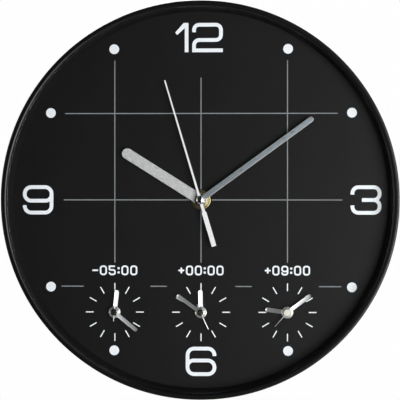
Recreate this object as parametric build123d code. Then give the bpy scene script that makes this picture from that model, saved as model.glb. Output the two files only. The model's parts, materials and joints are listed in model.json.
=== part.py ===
from build123d import *
import math
import os

# The clock is drawn in the dial's own frame: x to the right, y up to 12 o'clock,
# z towards the viewer, and z = 0 on the wall. save() turns each finished piece so that
# z is up, the front faces -Y and the origin is on the wall where the clock hangs.

# Case ring, the black rim
case_diameter = 305.0
case_depth = 44.0
case_wall = 2.0
bead_width = 5.0
bead_depth = 3.0
bead_outer_round = 1.7
bead_inner_round = 1.1

# Lens, spacer ring, dial plate and rear panel, stacked behind the bead
lens_thickness = 2.0
lens_edge_gap = 0.3
spacer_height = 15.5
spacer_front_step = 0.5
spacer_draft = 2.2
dial_thickness = 1.0
panel_thickness = 2.5

# Six screws from behind hold the rear panel and the dial plate to bosses in the case ring
case_screw_count = 6
case_screw_first_angle = 30.0
boss_radius = 2.1
boss_length = 8.0
boss_pocket_gap = 0.3
case_screw_radius = 0.95
case_screw_length = 10.0
case_screw_head_radius = 1.8
case_screw_head_height = 1.4
thread_gap = 0.05
screw_hole_gap = 0.2
# Chamfer of a screw's head, as a share of the head's height
head_chamfer_share = 1 / 3

# Hanger tower on the rear panel, with a keyhole for a wall screw
hanger_edge_margin = 38.2
keyhole_wall = 2.0
keyhole_slot_width = 4.6
keyhole_entry_radius = 4.5
keyhole_drop = 11.0
tower_wall = 2.0
tower_pocket_width = 20.0
tower_pocket_above = 6.0
tower_pocket_below = 19.0
tower_wall_gap = 3.0

# Ribs on the back of the rear panel
rib_height = 3.0
rib_width = 1.6
ring_rib_margin = 46.2
radial_rib_margin = 8.2
frame_wall = 1.6
frame_gap = 0.4

# Movement: a square battery movement behind each dial
movement_size = 56.0
movement_depth = 16.5
movement_round = 3.0
cover_depth = 6.0
shell_wall = 1.5
divider_wall = 1.2
lug_width = 9.0
lug_reach = 6.0
lug_thickness = 2.0
lug_screw_radius = 1.2
lug_screw_head_radius = 2.4
lug_screw_head_height = 1.6
lug_screw_bite = 2.2
post_radius = 1.3
pivot_depth = 1.0
pivot_end_gap = 0.2

# The small dials stand in a row: how far the outer two are from the dial plate's edge,
# and their direction below the horizontal
zone_edge_margin = 41.2
zone_direction = 52.4

# Shafts: the second arbor in the minute tube, in the hour pipe, in the threaded bushing
second_arbor_radius = 0.5
minute_tube_radius = 1.6
hour_pipe_radius = 2.6
bushing_radius = 4.0
bushing_hole_gap = 0.2
running_gap = 0.1
press_gap = 0.03
arbor_radius = 0.4
knob_stem_radius = 0.8

# Brass nut and washer on the main bushing
washer_radius = 7.4
washer_thickness = 0.5
nut_radius = 6.7
nut_thickness = 2.0
nut_chamfer = 0.9
bushing_stand_out = 0.4
zone_bushing_sink = 0.2

# Battery and its bay
cell_diameter = 14.2
cell_length = 50.5
cell_tip_radius = 2.75
cell_tip_length = 1.2
cell_edge_round = 0.6
bay_gap = 0.6
cell_seat_gap = 0.2
contact_thickness = 0.4
contact_width = 9.0
contact_height = 10.0
contact_bump_radius = 2.0
contact_touch_gap = 0.05

# Wheels: numbers of teeth and modules
rotor_pinion_teeth = 8
step_wheel_teeth = 48
step_pinion_teeth = 12
second_wheel_teeth = 60
second_pinion_teeth = 8
third_wheel_teeth = 60
third_pinion_teeth = 8
centre_wheel_teeth = 64
cannon_pinion_teeth = 12
minute_wheel_teeth = 36
minute_pinion_teeth = 10
hour_wheel_teeth = 40
step_module = 0.26
centre_distance = 9.0
minute_module = 0.40

# A tooth's height above and depth below the pitch circle, as shares of the module
addendum_share = 0.8
dedendum_share = 1.1
# Half the width of a tooth at its root and at its tip, as shares of the tooth pitch
tooth_root_share = 0.24
tooth_tip_share = 0.09

# Directions of the wheel axes from the centre, or from the step axis for the rotor
third_direction = 20.0
step_direction = 115.0
minute_direction = 170.0
rotor_direction = 60.0

# Levels inside the movement, behind its front face
wheel_thickness = 0.8
step_wheel_depth = 14.4
second_wheel_depth = 13.1
third_wheel_depth = 11.7
centre_wheel_depth = 10.1
train_plate_depth = 8.7
cannon_pinion_depth = 7.3
minute_wheel_depth = 6.9
hour_wheel_depth = 5.1
pinion_length = 1.6
train_plate_thickness = 1.0
train_plate_width = 36.0
train_plate_height = 25.0
train_plate_offset_x = -1.0
train_plate_offset_y = 4.0
train_plate_round = 2.0
plate_post_rise = 6.25
minute_front_end = 0.7

# Coil, stator, rotor magnet and circuit board
rotor_magnet_radius = 2.5
rotor_magnet_height = 2.2
rotor_magnet_depth = 13.0
rotor_gap = 0.6
stator_ring_radius = 4.4
stator_bar_height = 4.0
stator_reach = 13.5
stator_leg_width = 3.0
stator_thickness = 1.0
stator_depth = 12.4
coil_offset_y = 22.0
coil_radius = 2.9
coil_flange_radius = 3.3
coil_length = 19.0
coil_flange_thickness = 0.8
core_gap = 0.1
board_width = 7.5
board_length = 24.0
board_thickness = 1.0
board_depth = 12.5
board_offset_x = 21.75
board_offset_y = 4.0
board_post_reach = 8.0
chip_radius = 2.2
chip_height = 0.9

# Set knob behind the movement
knob_radius = 6.0
knob_thickness = 2.0
knob_gap = 0.3
knob_teeth = 24

# Hands of the main dial
main_hour_height = 4.2
main_hand_step = 2.2
main_hour_length = 70.9
main_hour_width = 8.3
main_minute_length = 106.8
main_minute_width = 4.1
main_hub_radius = 4.4
hand_thickness = 0.6
main_second_length = 95.8
second_root_width = 1.6
second_tip_width = 1.05
second_thickness = 0.35
tail_neck_width = 2.3
tail_neck_length = 9.3
tail_width = 3.6
tail_length = 37.0
main_second_hub_radius = 2.6
main_cap_radius = 3.5
main_cap_height = 1.8
main_cap_round = 1.3
hub_collar = 1.0

# Hands of the small dials
zone_hour_height = 2.2
zone_hand_step = 1.6
zone_hour_length = 17.0
zone_hour_width = 3.3
zone_minute_length = 22.4
zone_minute_width = 2.85
zone_hour_hub_radius = 4.5
zone_minute_hub_radius = 3.4
zone_second_length = 14.3
zone_second_tail = 6.9
zone_second_width = 0.8
zone_cap_radius = 2.3
zone_cap_height = 1.2
zone_cap_round = 0.8
zone_hub_collar = 0.6
pipe_stand_out = 0.3

# Angles of the hour, minute and second hand, clockwise from 12 o'clock
hand_angles = {
    "main": (302.2, 53.9, 343.4),
    "left_zone": (6.5, 129.4, 5.0),
    "middle_zone": (359.0, 305.7, 155.2),
    "right_zone": (278.0, 53.0, 221.5),
}

# Print on the dial plate
ink_thickness = 0.12
# Margins from the dial's visible edge to the middle of each numeral and dot
numeral_top_margin = 20.0
numeral_bottom_margin = 20.6
numeral_left_margin = 18.9
numeral_right_margin = 18.1
dot_margin = 10.9
dot_radius = 3.75
digit_width = 23.6
digit_height = 22.5
digit_stroke = 2.85
digit_corner = 5.1
digit_bowl_height = 10.5
digit_terminal = 5.7
three_corner = 4.6
three_bar_inset = 8.7
two_bowl_height = 11.7
one_offset = 11.1
two_offset = 5.0
one_flag_shoulder = 0.825
one_flag_reach = 7.3
one_flag_drop = 9.2
one_flag_edge = 7.3
one_flag_notch = 3.9
# Corner that closes a nine's or a five's bowl, as a share of its other corners
closing_corner_share = 0.9
tick_inner_radius = 16.35
tick_outer_radius = 22.3
tick_width = 0.8
tick_count = 12
# The grid's lines: margins of their ends from the dial's visible edge or from a small dial
line_width = 0.75
line_top_side_margin = 37.6
line_top_middle_margin = 50.7
line_across_top_margin = 39.8
line_across_left_margin = 38.8
line_across_right_margin = 36.2
low_line_end_margin = 37.0
line_above_zone = 38.1
low_line_outer_gap = 24.1
# The dash between two small dials, from and to these shares of their distance apart
low_dash_start_share = 0.397
low_dash_end_share = 0.586

# Offset numbers over the small dials
label_texts = {"left_zone": "-05:00", "middle_zone": "+00:00", "right_zone": "+09:00"}
label_height = 7.5
label_digit_width = 5.5
label_stroke = 1.25
label_corner = 1.6
label_gap = 1.35
label_colon_dot = 1.6
label_colon_rise = 1.6
label_sign_width = 4.4
label_terminal = 1.87
label_five_waist = 0.33
label_rise = 32.1

overrun = 1.0

case_radius = case_diameter / 2
case_inner_radius = case_radius - case_wall
lip_radius = case_radius - bead_width
lens_radius = case_inner_radius - lens_edge_gap
lens_front = case_depth - bead_depth
lens_back = lens_front - lens_thickness
dial_front = lens_back - spacer_height
panel_front = dial_front - dial_thickness
panel_back = panel_front - panel_thickness
spacer_front_radius = lip_radius - spacer_front_step
spacer_back_radius = spacer_front_radius - spacer_draft
hanger_height = lens_radius - hanger_edge_margin
ring_rib_radius = lens_radius - ring_rib_margin
radial_rib_end = lens_radius - radial_rib_margin
zone_circle_radius = lens_radius - zone_edge_margin
zone_pitch = zone_circle_radius * math.cos(math.radians(zone_direction))
zone_drop = zone_circle_radius * math.sin(math.radians(zone_direction))
boss_circle_radius = case_inner_radius - boss_radius
boss_top = dial_front + boss_length
dial_level = dial_thickness + panel_thickness
inner_size = movement_size - 2 * shell_wall
bay_width = cell_diameter + 2 * bay_gap
bay_top = bay_width - inner_size / 2
divider_top = bay_top + divider_wall
cell_axis_y = (bay_top - inner_size / 2) / 2
cell_axis_depth = shell_wall + cell_seat_gap + cell_diameter / 2
bushing_bore = hour_pipe_radius + running_gap
main_bushing_length = dial_level + washer_thickness + nut_thickness + bushing_stand_out
zone_bushing_length = dial_level - zone_bushing_sink
third_module = 2 * centre_distance / (second_pinion_teeth + third_wheel_teeth)
centre_module = 2 * centre_distance / (third_pinion_teeth + centre_wheel_teeth)
minute_distance = minute_module * (cannon_pinion_teeth + minute_wheel_teeth) / 2
hour_module = 2 * minute_distance / (minute_pinion_teeth + hour_wheel_teeth)
step_distance = step_module * (step_pinion_teeth + second_wheel_teeth) / 2
rotor_distance = step_module * (rotor_pinion_teeth + step_wheel_teeth) / 2
back_wall_depth = movement_depth - shell_wall

movement_places = {
    "main": (0, 0),
    "left_zone": (-zone_pitch, -zone_drop),
    "middle_zone": (0, -zone_drop),
    "right_zone": (zone_pitch, -zone_drop),
}
zone_names = ("left_zone", "middle_zone", "right_zone")
stand_on_origin = (Align.CENTER, Align.CENTER, Align.MIN)


def disc(radius, bottom, top):
    """A round bar along z."""
    return Pos(0, 0, bottom) * Cylinder(radius, top - bottom, align=stand_on_origin)


def tube(outer_radius, inner_radius, bottom, top):
    """A round bar along z with a bore right through."""
    return disc(outer_radius, bottom, top) - disc(inner_radius, bottom - overrun, top + overrun)


def block(left, right, low, high, bottom, top):
    """A box from its six sides."""
    middle = Pos((left + right) / 2, (low + high) / 2, bottom)
    return middle * Box(right - left, high - low, top - bottom, align=stand_on_origin)


def around(angle, radius):
    """A place on a circle, with the angle in degrees from +x, anticlockwise."""
    return radius * math.cos(math.radians(angle)), radius * math.sin(math.radians(angle))


def clock_turn(angle):
    """A turn about the dial's axis, clockwise as the viewer sees it."""
    return Rot(0, 0, -angle)


def in_movement(name, shape):
    """Set a shape from the movement's frame, with z = 0 on its front face, behind its dial."""
    x, y = movement_places[name]
    return Pos(x, y, panel_back) * shape


def save(name, shapes):
    """Turn a piece, or a group of like pieces, to the wall frame and write it."""
    to_wall = Pos(0, 0, -hanger_height) * Rot(90, 0, 0)
    pieces = [to_wall * shape for shape in (shapes if isinstance(shapes, list) else [shapes])]
    solids = [solid for piece in pieces for solid in piece.solids()]
    export_step(Compound(solids) if len(solids) > 1 else solids[0], f"parts/{name}.step")


# Case pieces


def case_screw_places():
    """The centres of the six case screws."""
    step = 360 / case_screw_count
    return [
        around(case_screw_first_angle + number * step, boss_circle_radius)
        for number in range(case_screw_count)
    ]


def case_ring():
    """The rim: a straight wall with a rounded bead in front, and bosses for the screws inside."""
    front = case_depth
    edges = [
        Line((case_radius, 0), (case_radius, front - bead_outer_round)),
        CenterArc((case_radius - bead_outer_round, front - bead_outer_round), bead_outer_round, 0, 90),
        Line((case_radius - bead_outer_round, front), (lip_radius + bead_inner_round, front)),
        CenterArc((lip_radius + bead_inner_round, front - bead_inner_round), bead_inner_round, 90, 90),
        Line((lip_radius, front - bead_inner_round), (lip_radius, lens_front)),
        Line((lip_radius, lens_front), (case_inner_radius, lens_front)),
        Line((case_inner_radius, lens_front), (case_inner_radius, 0)),
        Line((case_inner_radius, 0), (case_radius, 0)),
    ]
    ring = revolve(Plane.XZ * make_face(edges), Axis.Z)
    for x, y in case_screw_places():
        angle = math.degrees(math.atan2(y, x))
        boss = disc(boss_radius, dial_front, boss_top)
        boss += block(0, boss_radius + case_wall / 2, -boss_radius, boss_radius, dial_front, boss_top)
        boss -= disc(case_screw_radius + thread_gap, dial_front - overrun, boss_top - boss_radius / 2)
        ring += Pos(x, y, 0) * Rot(0, 0, angle) * boss
    return ring


def lens():
    """The clear flat cover behind the bead."""
    return disc(lens_radius, lens_back, lens_front)


def spacer_ring():
    """The inner wall, narrower at the dial, with a pocket for each boss in its outer side."""
    edges = [
        Line((spacer_back_radius, dial_front), (lens_radius, dial_front)),
        Line((lens_radius, dial_front), (lens_radius, lens_back)),
        Line((lens_radius, lens_back), (spacer_front_radius, lens_back)),
        Line((spacer_front_radius, lens_back), (spacer_back_radius, dial_front)),
    ]
    ring = revolve(Plane.XZ * make_face(edges), Axis.Z)
    pocket_radius = boss_radius + boss_pocket_gap
    pocket_bottom = dial_front - overrun
    pocket_top = boss_top + boss_pocket_gap
    for x, y in case_screw_places():
        angle = math.degrees(math.atan2(y, x))
        pocket = disc(pocket_radius, pocket_bottom, pocket_top)
        pocket += block(0, boss_radius + overrun, -pocket_radius, pocket_radius, pocket_bottom, pocket_top)
        ring -= Pos(x, y, 0) * Rot(0, 0, angle) * pocket
    return ring


def dial_plate():
    """The black plate that carries the print, with a hole for each bushing and screw."""
    plate = disc(lens_radius, panel_front, dial_front)
    for x, y in movement_places.values():
        plate -= Pos(x, y, 0) * disc(bushing_radius + bushing_hole_gap, panel_back, dial_front + overrun)
    for x, y in case_screw_places():
        plate -= Pos(x, y, 0) * disc(case_screw_radius + screw_hole_gap, panel_back, dial_front + overrun)
    return plate


def lug_screw_places():
    """The centres of the two lug screws of each small movement, in the dial frame."""
    reach = (movement_size + lug_reach) / 2
    return [
        (movement_places[name][0], movement_places[name][1] + side * reach)
        for name in zone_names
        for side in (-1, 1)
    ]


def rear_panel():
    """The plate behind the dial: ribs, a frame round each movement and the hanger tower."""
    back = panel_back - rib_height
    panel = disc(lens_radius, panel_back, panel_front)
    ribs = tube(ring_rib_radius + rib_width / 2, ring_rib_radius - rib_width / 2, back, panel_back)
    frame_half = movement_size / 2 + frame_gap
    for x, y in case_screw_places():
        rib = block(0, case_radius, -rib_width / 2, rib_width / 2, back, panel_back)
        ribs += Rot(0, 0, math.degrees(math.atan2(y, x))) * rib
    outer_half = frame_half + frame_wall
    for x, y in movement_places.values():
        ribs += Pos(x, y, 0) * block(-outer_half, outer_half, -outer_half, outer_half, back, panel_back)
    ribs &= disc(radial_rib_end, back, panel_back)
    for x, y in movement_places.values():
        pocket = block(-frame_half, frame_half, -frame_half, frame_half, back - overrun, panel_back)
        ribs -= Pos(x, y, 0) * pocket
    for x, y in lug_screw_places():
        half = lug_width / 2 + frame_gap
        ribs -= Pos(x, y, 0) * block(-half, half, -lug_reach, lug_reach, back - overrun, panel_back)
    low = hanger_height - tower_pocket_below
    high = hanger_height + tower_pocket_above
    half = tower_pocket_width / 2
    tower_block = block(
        -half - tower_wall, half + tower_wall, low - tower_wall, high + tower_wall, tower_wall_gap, panel_back
    )
    panel += ribs
    panel += tower_block
    panel -= block(-half, half, low, high, tower_wall_gap + keyhole_wall, panel_front + overrun)
    hole_bottom = tower_wall_gap - overrun
    hole_top = tower_wall_gap + keyhole_wall + overrun
    panel -= Pos(0, hanger_height - keyhole_drop, 0) * disc(keyhole_entry_radius, hole_bottom, hole_top)
    slot_half = keyhole_slot_width / 2
    panel -= block(-slot_half, slot_half, hanger_height - keyhole_drop, hanger_height, hole_bottom, hole_top)
    panel -= Pos(0, hanger_height, 0) * disc(slot_half, hole_bottom, hole_top)
    for x, y in movement_places.values():
        panel -= Pos(x, y, 0) * disc(bushing_radius + bushing_hole_gap, back, panel_front + overrun)
    shank_hole = disc(case_screw_radius + screw_hole_gap, back - overrun, panel_front + overrun)
    head_room = disc(case_screw_head_radius + screw_hole_gap, back - overrun, panel_back)
    for x, y in case_screw_places():
        panel -= Pos(x, y, 0) * (shank_hole + head_room)
    lug_hole = disc(lug_screw_radius + thread_gap, panel_back - overrun, panel_front + overrun)
    for x, y in lug_screw_places():
        panel -= Pos(x, y, 0) * lug_hole
    return panel


def pan_screw(radius, head_radius, head_height, head_bottom, tip):
    """A screw along z with its head behind head_bottom and its tip in front."""
    head = disc(head_radius, head_bottom - head_height, head_bottom)
    head = chamfer(head.edges().group_by(Axis.Z)[0], head_height * head_chamfer_share)
    return head + disc(radius, head_bottom - head_height / 2, tip)


def case_screws():
    """Six screws through the rear panel and the dial plate into the case ring's bosses."""
    screw = pan_screw(
        case_screw_radius,
        case_screw_head_radius,
        case_screw_head_height,
        panel_back,
        panel_back + case_screw_length,
    )
    return [Pos(x, y, 0) * screw for x, y in case_screw_places()]


# Print on the dial


def stroke(points, corner, width):
    """A pen line of one width along straight runs joined by arcs."""
    path = FilletPolyline(*points, radius=corner) if corner else Polyline(*points)
    start = Plane(origin=path @ 0, x_dir=(0, 0, 1), z_dir=path % 0)
    return sweep(start * Rectangle(ink_thickness, width), path)


def bar(left, right, low, high):
    """A straight printed bar from its four sides."""
    return block(left, right, low, high, -ink_thickness / 2, ink_thickness / 2)


def digit_nine(width, height, pen, corner, bowl, terminal):
    """A nine: a closed bowl above and an open hook below, centred on its cell."""
    side = (width - pen) / 2
    top = (height - pen) / 2
    waist = top - bowl
    bowl_points = [(0, waist), (-side, waist), (-side, top), (side, top)]
    hook_points = [(side, -top), (-side, -top), (-side, terminal - top)]
    loop = stroke(bowl_points + hook_points, corner, pen)
    closing = stroke([(0, waist), (side, waist), (side, top - corner)], corner * closing_corner_share, pen)
    return loop + closing


def digit_two(width, height, pen, corner, bowl, terminal):
    """A two: a hook above and a hook below that ends on the base line."""
    side = (width - pen) / 2
    top = (height - pen) / 2
    middle = top - bowl
    bend = min(corner, (bowl - pen / 2) / 2, (middle + top) / 2)
    hook_points = [(-side, top - terminal), (-side, top), (side, top)]
    foot_points = [(side, middle), (-side, middle), (-side, -top)]
    foot = bar(-side - pen / 2, side + pen / 2, -top - pen / 2, -top + pen / 2)
    return stroke(hook_points + foot_points, bend, pen) + foot


def digit_three(width, height, pen, corner, inset, terminal):
    """A three: two hooks that meet in a short middle bar."""
    side = (width - pen) / 2
    top = (height - pen) / 2
    start = inset - width / 2
    upper = stroke([(-side, top - terminal), (-side, top), (side, top), (side, 0), (start, 0)], corner, pen)
    lower = stroke([(-side, terminal - top), (-side, -top), (side, -top), (side, 0), (start, 0)], corner, pen)
    return upper + lower


def digit_one():
    """A one: a stem and a slanting flag."""
    half = digit_stroke / 2
    top = digit_height / 2
    flag = Polyline(
        (half, top),
        (-half - one_flag_shoulder, top),
        (-half - one_flag_reach, top - one_flag_edge),
        (-half - one_flag_reach + digit_stroke / 2, top - one_flag_drop),
        (-half, top - one_flag_notch),
        (half, top - one_flag_notch),
        close=True,
    )
    stem = bar(-half, half, -top, top)
    return stem + Pos(0, 0, -ink_thickness / 2) * extrude(make_face(flag), ink_thickness)


def label_digit(mark):
    """One small character of an offset number and its width."""
    pen = label_stroke
    side = (label_digit_width - pen) / 2
    top = (label_height - pen) / 2
    if mark == "0":
        ring = RectangleRounded(label_digit_width, label_height, label_corner + pen / 2)
        hole = RectangleRounded(label_digit_width - 2 * pen, label_height - 2 * pen, label_corner - pen / 2)
        return Pos(0, 0, -ink_thickness / 2) * extrude(ring - hole, ink_thickness), label_digit_width
    if mark == "5":
        upper = bar(-side - pen / 2, side, top - pen / 2, top + pen / 2)
        back = bar(-side - pen / 2, -side + pen / 2, label_five_waist, top)
        bowl_points = [(-side, label_five_waist), (side, label_five_waist), (side, -top)]
        hook_points = [(-side, -top), (-side, label_corner - top)]
        bowl = stroke(bowl_points + hook_points, label_corner * closing_corner_share, pen)
        return upper + back + bowl, label_digit_width
    if mark == "9":
        return (
            digit_nine(label_digit_width, label_height, pen, label_corner, label_height / 2, label_terminal),
            label_digit_width,
        )
    if mark == ":":
        dot = label_colon_dot / 2
        rise = label_colon_rise
        pair = bar(-dot, dot, rise - dot, rise + dot) + bar(-dot, dot, -rise - dot, dot - rise)
        return pair, label_colon_dot
    half = label_sign_width / 2
    sign = bar(-half, half, -pen / 2, pen / 2)
    if mark == "+":
        sign += bar(-pen / 2, pen / 2, -half, half)
    return sign, label_sign_width


def label(text):
    """A row of small characters, centred."""
    marks = [label_digit(mark) for mark in text]
    total = sum(width for _, width in marks) + label_gap * (len(marks) - 1)
    placed = []
    left = -total / 2
    for shape, width in marks:
        placed.append(Pos(left + width / 2, 0, 0) * shape)
        left += width + label_gap
    return placed


def on_dial(shape):
    """Lift a printed shape from the middle of its thickness onto the dial plate."""
    return Pos(0, 0, dial_front + ink_thickness / 2) * shape


def white_print():
    """Numerals, dots, ticks and offset numbers."""
    edge = spacer_back_radius
    cell = (digit_width, digit_height, digit_stroke)
    nine = digit_nine(*cell, digit_corner, digit_bowl_height, digit_terminal)
    two = digit_two(*cell, digit_corner, two_bowl_height, digit_terminal)
    three = digit_three(*cell, three_corner, three_bar_inset, digit_terminal)
    marks = [
        Pos(-one_offset, edge - numeral_top_margin, 0) * digit_one(),
        Pos(two_offset, edge - numeral_top_margin, 0) * two,
        Pos(edge - numeral_right_margin, 0, 0) * three,
        Pos(0, numeral_bottom_margin - edge, 0) * Rot(0, 0, 180) * nine,
        Pos(numeral_left_margin - edge, 0, 0) * nine,
    ]
    for hour in range(12):
        if hour % 3:
            x, y = around(90 - 30 * hour, edge - dot_margin)
            marks.append(Pos(x, y, 0) * disc(dot_radius, -ink_thickness / 2, ink_thickness / 2))
    tick = bar(-tick_width / 2, tick_width / 2, tick_inner_radius, tick_outer_radius)
    for name in zone_names:
        place = Pos(*movement_places[name], 0)
        marks += [place * clock_turn(number * 360 / tick_count) * tick for number in range(tick_count)]
        marks += [place * Pos(0, label_rise, 0) * shape for shape in label(label_texts[name])]
    return [on_dial(mark) for mark in marks]


def grey_print():
    """The grid: three lines down, two across, and a third across that the small dials break."""
    half = line_width / 2
    edge = spacer_back_radius
    bottom = line_above_zone - zone_drop
    side_top = edge - line_top_side_margin
    tops = ((-zone_pitch, side_top), (0, edge - line_top_middle_margin), (zone_pitch, side_top))
    down = [bar(x - half, x + half, bottom, top) for x, top in tops]
    across_end = edge - line_across_top_margin
    across = bar(-across_end, across_end, zone_pitch - half, zone_pitch + half)
    middle = bar(line_across_left_margin - edge, edge - line_across_right_margin, -half, half)
    hub = disc(washer_radius + line_width, -ink_thickness, ink_thickness)
    grid = down[0] + down[1] + down[2] + across + middle - hub
    low = []
    low_ends = (
        (low_dash_start_share * zone_pitch, low_dash_end_share * zone_pitch),
        (zone_pitch + low_line_outer_gap, edge - low_line_end_margin),
    )
    for start, end in low_ends:
        low.append(bar(start, end, -zone_pitch - half, half - zone_pitch))
        low.append(bar(-end, -start, -zone_pitch - half, half - zone_pitch))
    return [on_dial(line) for line in [grid] + low]


# Movement pieces, in the movement's frame


def rounded_slab(size, corner, bottom, top):
    """A square slab with rounded corners."""
    return Pos(0, 0, bottom) * extrude(RectangleRounded(size, size, corner), top - bottom)


def movement_cover(bushing_length, with_lugs):
    """The front shell with the threaded bushing, and lugs on the small movements."""
    half = inner_size / 2
    shell = rounded_slab(movement_size, movement_round, -cover_depth, 0)
    shell -= block(-half, half, divider_top, half, -cover_depth - overrun, -shell_wall)
    shell -= block(-half, half, -half, bay_top, -cover_depth - overrun, -shell_wall)
    shell += disc(bushing_radius, -shell_wall / 2, bushing_length)
    shell -= disc(bushing_bore, -cover_depth, bushing_length + overrun)
    x, y = around(minute_direction, minute_distance)
    shell -= Pos(x, y, 0) * disc(arbor_radius + running_gap, -shell_wall - overrun, -shell_wall + pivot_depth)
    if with_lugs:
        for side in (-1, 1):
            reach = side * (movement_size / 2 - shell_wall / 2)
            end = side * (movement_size / 2 + lug_reach)
            low, high = min(reach, end), max(reach, end)
            lug = block(-lug_width / 2, lug_width / 2, low, high, -lug_thickness, 0)
            hole = disc(lug_screw_radius + screw_hole_gap, -lug_thickness - overrun, overrun)
            shell += lug
            shell -= Pos(0, side * (movement_size + lug_reach) / 2, 0) * hole
    return shell


def pivot_places():
    """The wheel axes that turn in the base and the train plate."""
    step_x, step_y = around(step_direction, step_distance)
    rotor_x, rotor_y = around(rotor_direction, rotor_distance)
    return {
        "third": around(third_direction, centre_distance),
        "step": (step_x, step_y),
        "rotor": (step_x + rotor_x, step_y + rotor_y),
    }


def plate_post_places():
    """The three posts that carry the train plate."""
    left = train_plate_offset_x - train_plate_width / 2 + 2 * post_radius
    right = train_plate_offset_x + train_plate_width / 2 - 2 * post_radius
    low = train_plate_offset_y - train_plate_height / 2 + post_radius
    return [(left, low), (right, low), (left, train_plate_offset_y + plate_post_rise)]


def movement_base(full_train):
    """The rear shell: a closed train bay and a battery bay that is open behind."""
    half = inner_size / 2
    shell = rounded_slab(movement_size, movement_round, -movement_depth, -cover_depth)
    shell -= block(-half, half, divider_top, half, -back_wall_depth, -cover_depth + overrun)
    shell -= block(-half, half, -half, bay_top, -movement_depth - overrun, -cover_depth + overrun)
    floor = -back_wall_depth
    if full_train:
        for x, y in plate_post_places():
            shell += Pos(x, y, 0) * disc(post_radius, floor - shell_wall / 2, -train_plate_depth)
        leg = stator_reach - stator_leg_width / 2
        for side in (-1, 1):
            post = disc(post_radius, floor - shell_wall / 2, -stator_depth)
            shell += Pos(side * leg, coil_offset_y - stator_leg_width, 0) * post
        for side in (-1, 1):
            post = disc(post_radius, floor - shell_wall / 2, -board_depth)
            shell += Pos(board_offset_x, board_offset_y + side * board_post_reach, 0) * post
    pivots = pivot_places().values() if full_train else []
    for x, y in pivots:
        shell -= Pos(x, y, 0) * disc(arbor_radius + running_gap, floor - pivot_depth, floor + overrun)
    shell -= disc(second_arbor_radius + running_gap, floor - pivot_depth, floor + overrun)
    x, y = around(minute_direction, minute_distance)
    shell -= Pos(x, y, 0) * disc(knob_stem_radius + running_gap, -movement_depth - overrun, floor + overrun)
    return shell


def battery():
    """An unmarked cell lying along x in the bay."""
    body_length = cell_length - cell_tip_length
    body = Cylinder(cell_diameter / 2, body_length)
    body = fillet(body.edges().filter_by(GeomType.CIRCLE), cell_edge_round)
    tip = Pos(0, 0, body_length / 2) * Cylinder(cell_tip_radius, 2 * cell_tip_length)
    return Pos(-cell_tip_length / 2, cell_axis_y, -cell_axis_depth) * Rot(0, 90, 0) * (body + tip)


def battery_contacts():
    """Two leaves on the end walls of the bay, each with a raised point that meets the cell."""
    leaves = []
    bump = (inner_size - cell_length) / 2 - contact_thickness - contact_touch_gap
    for side in (-1, 1):
        leaf = Box(contact_thickness, contact_width, contact_height)
        leaf = Pos((inner_size - contact_thickness) / 2, 0, 0) * leaf
        point = Rot(0, -90, 0) * disc(contact_bump_radius, 0, bump + contact_thickness / 2)
        leaf += Pos(inner_size / 2 - contact_thickness / 2, 0, 0) * point
        turned = leaf if side > 0 else Rot(0, 0, 180) * leaf
        leaves.append(Pos(0, cell_axis_y, -cell_axis_depth) * turned)
    return leaves


def gear(teeth, module, bottom, thickness, phase):
    """A wheel with flat-sided teeth. One tooth points in the direction that phase gives."""
    pitch_radius = teeth * module / 2
    root = pitch_radius - dedendum_share * module
    tip = pitch_radius + addendum_share * module
    corners = (
        (root, -tooth_root_share),
        (tip, -tooth_tip_share),
        (tip, tooth_tip_share),
        (root, tooth_root_share),
    )
    points = []
    for tooth in range(teeth):
        for radius, share in corners:
            points.append(around(phase + (tooth + share) * 360 / teeth, radius))
    return Pos(0, 0, bottom) * extrude(make_face(Polyline(*points, close=True)), thickness)


def gap_phase(direction, teeth):
    """The phase that turns the middle of a gap in a direction."""
    return direction + 180 / teeth


def rotor():
    """A magnet and a pinion on one arbor, at the rotor's axis."""
    towards_step = rotor_direction + 180
    bottom = -back_wall_depth - pivot_depth + pivot_end_gap
    top = -train_plate_depth + train_plate_thickness - pivot_end_gap
    body = disc(arbor_radius, bottom, top)
    pinion_bottom = -step_wheel_depth - pivot_end_gap
    pinion_width = wheel_thickness + 2 * pivot_end_gap
    body += gear(rotor_pinion_teeth, step_module, pinion_bottom, pinion_width, towards_step)
    magnet_bottom = -rotor_magnet_depth
    body += disc(rotor_magnet_radius, magnet_bottom, magnet_bottom + rotor_magnet_height)
    return Pos(*pivot_places()["rotor"], 0) * body


def step_wheel():
    """The wheel that the rotor drives, with the pinion that drives the second wheel."""
    bottom = -back_wall_depth - pivot_depth + pivot_end_gap
    top = -train_plate_depth + train_plate_thickness - pivot_end_gap
    body = disc(arbor_radius, bottom, top)
    phase = gap_phase(rotor_direction, step_wheel_teeth)
    body += gear(step_wheel_teeth, step_module, -step_wheel_depth, wheel_thickness, phase)
    pinion_bottom = wheel_thickness - step_wheel_depth
    body += gear(step_pinion_teeth, step_module, pinion_bottom, pinion_length, step_direction + 180)
    return Pos(*pivot_places()["step"], 0) * body


def second_wheel(arbor_top):
    """The second wheel on the long arbor that carries the second hand."""
    bottom = -back_wall_depth - pivot_depth + pivot_end_gap
    body = disc(second_arbor_radius, bottom, arbor_top)
    phase = gap_phase(step_direction, second_wheel_teeth)
    body += gear(second_wheel_teeth, step_module, -second_wheel_depth, wheel_thickness, phase)
    pinion_bottom = wheel_thickness - second_wheel_depth
    return body + gear(second_pinion_teeth, third_module, pinion_bottom, pinion_length, third_direction)


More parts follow.
